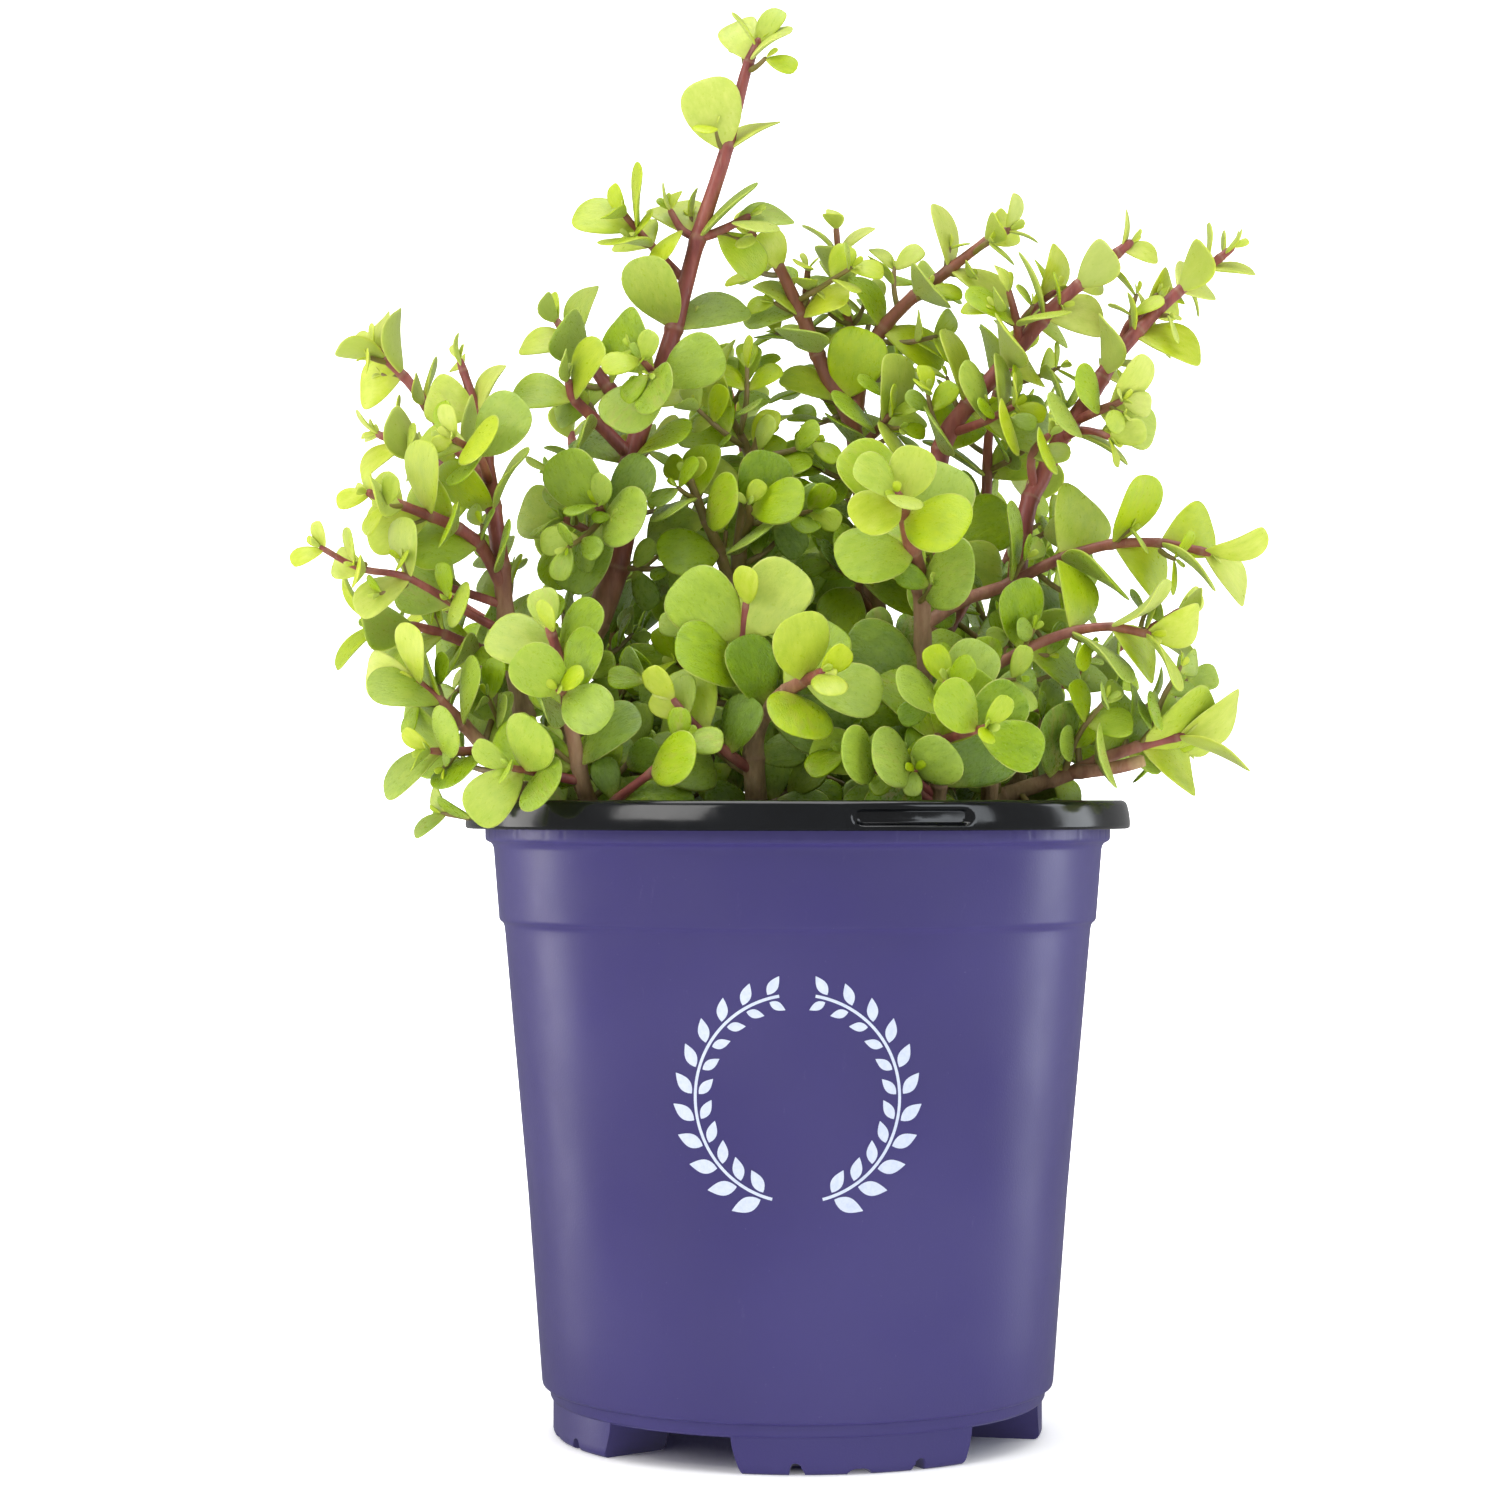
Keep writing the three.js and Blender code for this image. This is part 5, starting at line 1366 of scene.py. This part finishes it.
def scatter(kind):
    bm = bmesh.new()
    toneLayer = bm.verts.layers.float_color.new("bitTone")
    least, most = soil[kind]
    for _ in range(soil[kind + "s"]):
        reach, turn = (soil["edge"] - soil["clear"]) * math.sqrt(dice.share()), math.pi * dice.draw()
        x, y = reach * math.cos(turn), reach * math.sin(turn)
        size = mix(least, most, dice.share() ** 2)
        spin = Matrix.Rotation(math.pi * dice.draw(), 4, "Z")
        tilt = Matrix.Rotation(soil["tilt"] * dice.draw(), 4, "X")
        at = Vector((x, y, soilHeight(x, y) + soil["raised"] * size)) * mm
        place = Matrix.Translation(at) @ spin @ tilt
        if kind == "chip":
            made = bmesh.ops.create_cube(bm, size=size * mm)["verts"]
            shape = (1, 0.55 + 0.2 * dice.draw(), 0.28 + 0.12 * dice.draw())
        else:
            made = bmesh.ops.create_icosphere(bm, subdivisions=1, radius=size * mm)["verts"]
            shape = (1, 0.85, 0.75)
        tone = dice.share()
        paintVerts(made, toneLayer, (tone, tone, tone, 1))
        bmesh.ops.scale(bm, verts=made, vec=shape)
        for vert in made:
            vert.co *= 1 + soil["rough"] * noise.noise(vert.co * soil["roughScale"] + Vector((x, y, size)))
        bmesh.ops.transform(bm, matrix=place, verts=made)
    return bm


def soilMaterial():
    paint = Paint("dark potting mix")
    crumbs = paint.noise(420, 6, 0.7)
    tint = paint.ramp(crumbs, [(0.3, (30, 21, 15)), (0.5, (58, 42, 30)), (0.7, (94, 72, 52))])
    fibres = paint.step(paint.noise(700, 3, 0.6, (1, 0.15, 1)), 0.66, 0.72, (0.0, 0.6))
    tint = paint.blend(fibres, tint, (132, 104, 72))
    paint.bump(crumbs, 0.0016, 0.9)
    return paint.finish(tint, 0.95)


def bitMaterial(name, dark, pale, scale, roughness):
    paint = Paint(name)
    tone = paint.attribute("bitTone").outputs["Fac"]
    mixed = paint.plus(paint.times(tone, 0.6), paint.times(paint.noise(scale, 4), 0.4))
    tint = paint.blend(paint.step(mixed, 0.2, 0.8), dark, pale)
    paint.bump(paint.noise(scale, 4, 0.7, (1, 0.4, 1)), 0.0005, 0.7)
    return paint.finish(tint, roughness)


chipPaint = bitMaterial("bark chips", (52, 34, 22), (136, 100, 66), 600, 0.85)
grainPaint = bitMaterial("pale mineral grains", (196, 190, 176), (236, 232, 222), 900, 0.9)
newPiece("soil_surface", soilMesh(), soilMaterial(), ["soil"])
newPiece("bark_chips", scatter("chip"), chipPaint, [], smoothAngle=30)
newPiece("mineral_grains", scatter("grain"), grainPaint, [], smoothAngle=60)
print("soil done")

# A pale floor that curves up behind, soft lights and the camera.
studio = {
    "floor": (3.2, 2.2, 0.9), "curveSteps": 16,  # m: half width, depth behind and radius of the curve
    "camera": (0, -0.880, 0.1565), "target": (-0.0118, 0, 0.169), "lens": 84.7, "sensor": 36, "nearest": 0.01,
    # m from the pot's axis, where the floor's glow, which is painted light, grows, and where it is taken away
    # under the pot to leave painted shade
    "world": 0.29, "paintedGlow": (0.4, 1.0), "glowReach": (0.22, 0.75), "paintedShadowUnderPot": (0.05, 0.066),
    "wall": (2.1, 3.6, -0.05), "wallSteps": 64,  # m, radius, height and foot of the round backdrop
    "lampTarget": (0, 0, 0.17),
    # name, place, width and height, power and colour
    "lamps": [("left front box", (-1.1, -1.0, 0.85), (0.9, 0.9), 11.0, (1.0, 0.985, 0.97)),
              ("right front box", (1.25, -0.9, 0.7), (0.8, 0.8), 6.5, (0.88, 0.94, 1.0)),
              ("top box", (-0.05, -0.1, 1.5), (1.3, 1.1), 16.0, (1.0, 1.0, 1.0)),
              ("left strip", (-1.25, 0.42, 0.32), (0.45, 1.1), 4.5, (1.0, 0.98, 0.96)),
              ("right strip", (1.25, 0.42, 0.32), (0.45, 1.1), 4.5, (0.9, 0.95, 1.0))],
}


def stagePiece(name, bm, material):
    mesh = bpy.data.meshes.new(name)
    bm.to_mesh(mesh)
    bm.free()
    mesh.shade_smooth()
    mesh.materials.append(material)
    piece = bpy.data.objects.new(name, mesh)
    scene.collection.objects.link(piece)
    piece.visible_glossy = False  # the glossy rim shows the lamps alone
    return piece


def floorPiece():
    half, deep, curve = studio["floor"]
    bm = bmesh.new()
    verts = [bm.verts.new((-half, -deep, 0)), bm.verts.new((half, -deep, 0))]
    edges = [bm.edges.new(verts)]
    steps = [Vector((0, 2 * deep, 0))]
    part = math.pi / 2 / studio["curveSteps"]
    for i in range(studio["curveSteps"]):
        a, b = part * i, part * (i + 1)
        steps.append(Vector((0, math.sin(b) - math.sin(a), math.cos(a) - math.cos(b))) * curve)
    steps.append(Vector((0, 0, 2 * deep)))
    for step in steps:
        made = bmesh.ops.extrude_edge_only(bm, edges=edges)
        bmesh.ops.translate(bm, vec=step, verts=vertsIn(made))
        edges = [item for item in made["geom"] if isinstance(item, bmesh.types.BMEdge)]
    bmesh.ops.recalc_face_normals(bm, faces=bm.faces)
    paint = Paint("pale paper")
    tint = paint.blend(paint.noise(3, 2), (246, 246, 246), (250, 250, 250))
    away = paint.put("ShaderNodeVectorMath", {"Vector": paint.place()}, operation="LENGTH").outputs["Value"]
    # painted light: the floor glows, more so away from the pot; painted shade: no glow under the pot
    paintedGlow = paint.times(paint.step(away, *studio["glowReach"], studio["paintedGlow"]),
                       paint.step(away, *studio["paintedShadowUnderPot"]))
    paint.join(paintedGlow, paint.shader.inputs["Emission Strength"])
    return stagePiece("studio_floor", bm, paint.finish(tint, 0.9, Emission_Color=(1, 1, 1, 1)))


def backdropPiece():
    # a round white wall that only the camera sees, so that every side of the pot has the same backdrop
    radius, height, low = studio["wall"]
    bm = bmesh.new()
    ring = bmesh.ops.create_circle(bm, segments=studio["wallSteps"], radius=radius, cap_ends=False)["verts"]
    made = bmesh.ops.extrude_edge_only(bm, edges=edgesOf(ring))
    bmesh.ops.translate(bm, vec=(0, 0, height), verts=vertsIn(made))
    bmesh.ops.translate(bm, vec=(0, 0, low), verts=bm.verts)
    paint = Paint("white backdrop")
    paint.shader.inputs["Emission Strength"].default_value = 1.0
    white = paint.finish((250, 250, 250), 0.9, Emission_Color=(1, 1, 1, 1))
    wall = stagePiece("studio_backdrop", bm, white)
    wall.visible_diffuse = wall.visible_transmission = wall.visible_shadow = False


def pointAt(thing, target):
    away = thing.location - Vector(target)
    thing.rotation_euler = away.to_track_quat("Z", "Y").to_euler()


floorPiece()
backdropPiece()
for name, at, (wide, high), power, tint in studio["lamps"]:
    lamp = bpy.data.lights.new(name, "AREA")
    lamp.shape, lamp.size, lamp.size_y, lamp.energy, lamp.color = "RECTANGLE", wide, high, power, tint
    stand = bpy.data.objects.new(name, lamp)
    stand.location = at
    pointAt(stand, studio["lampTarget"])
    scene.collection.objects.link(stand)

world = bpy.data.worlds.new("studio")
world.use_nodes = True
world.node_tree.nodes["Background"].inputs["Color"].default_value = (1, 1, 1, 1)
world.node_tree.nodes["Background"].inputs["Strength"].default_value = studio["world"]
scene.world = world
scene.view_settings.view_transform = "Standard"

camera = bpy.data.objects.new("camera", bpy.data.cameras.new("camera"))
camera.data.lens, camera.data.sensor_width = studio["lens"], studio["sensor"]
camera.data.clip_start = studio["nearest"]
camera.location = studio["camera"]
pointAt(camera, studio["target"])
scene.collection.objects.link(camera)
scene.camera = camera
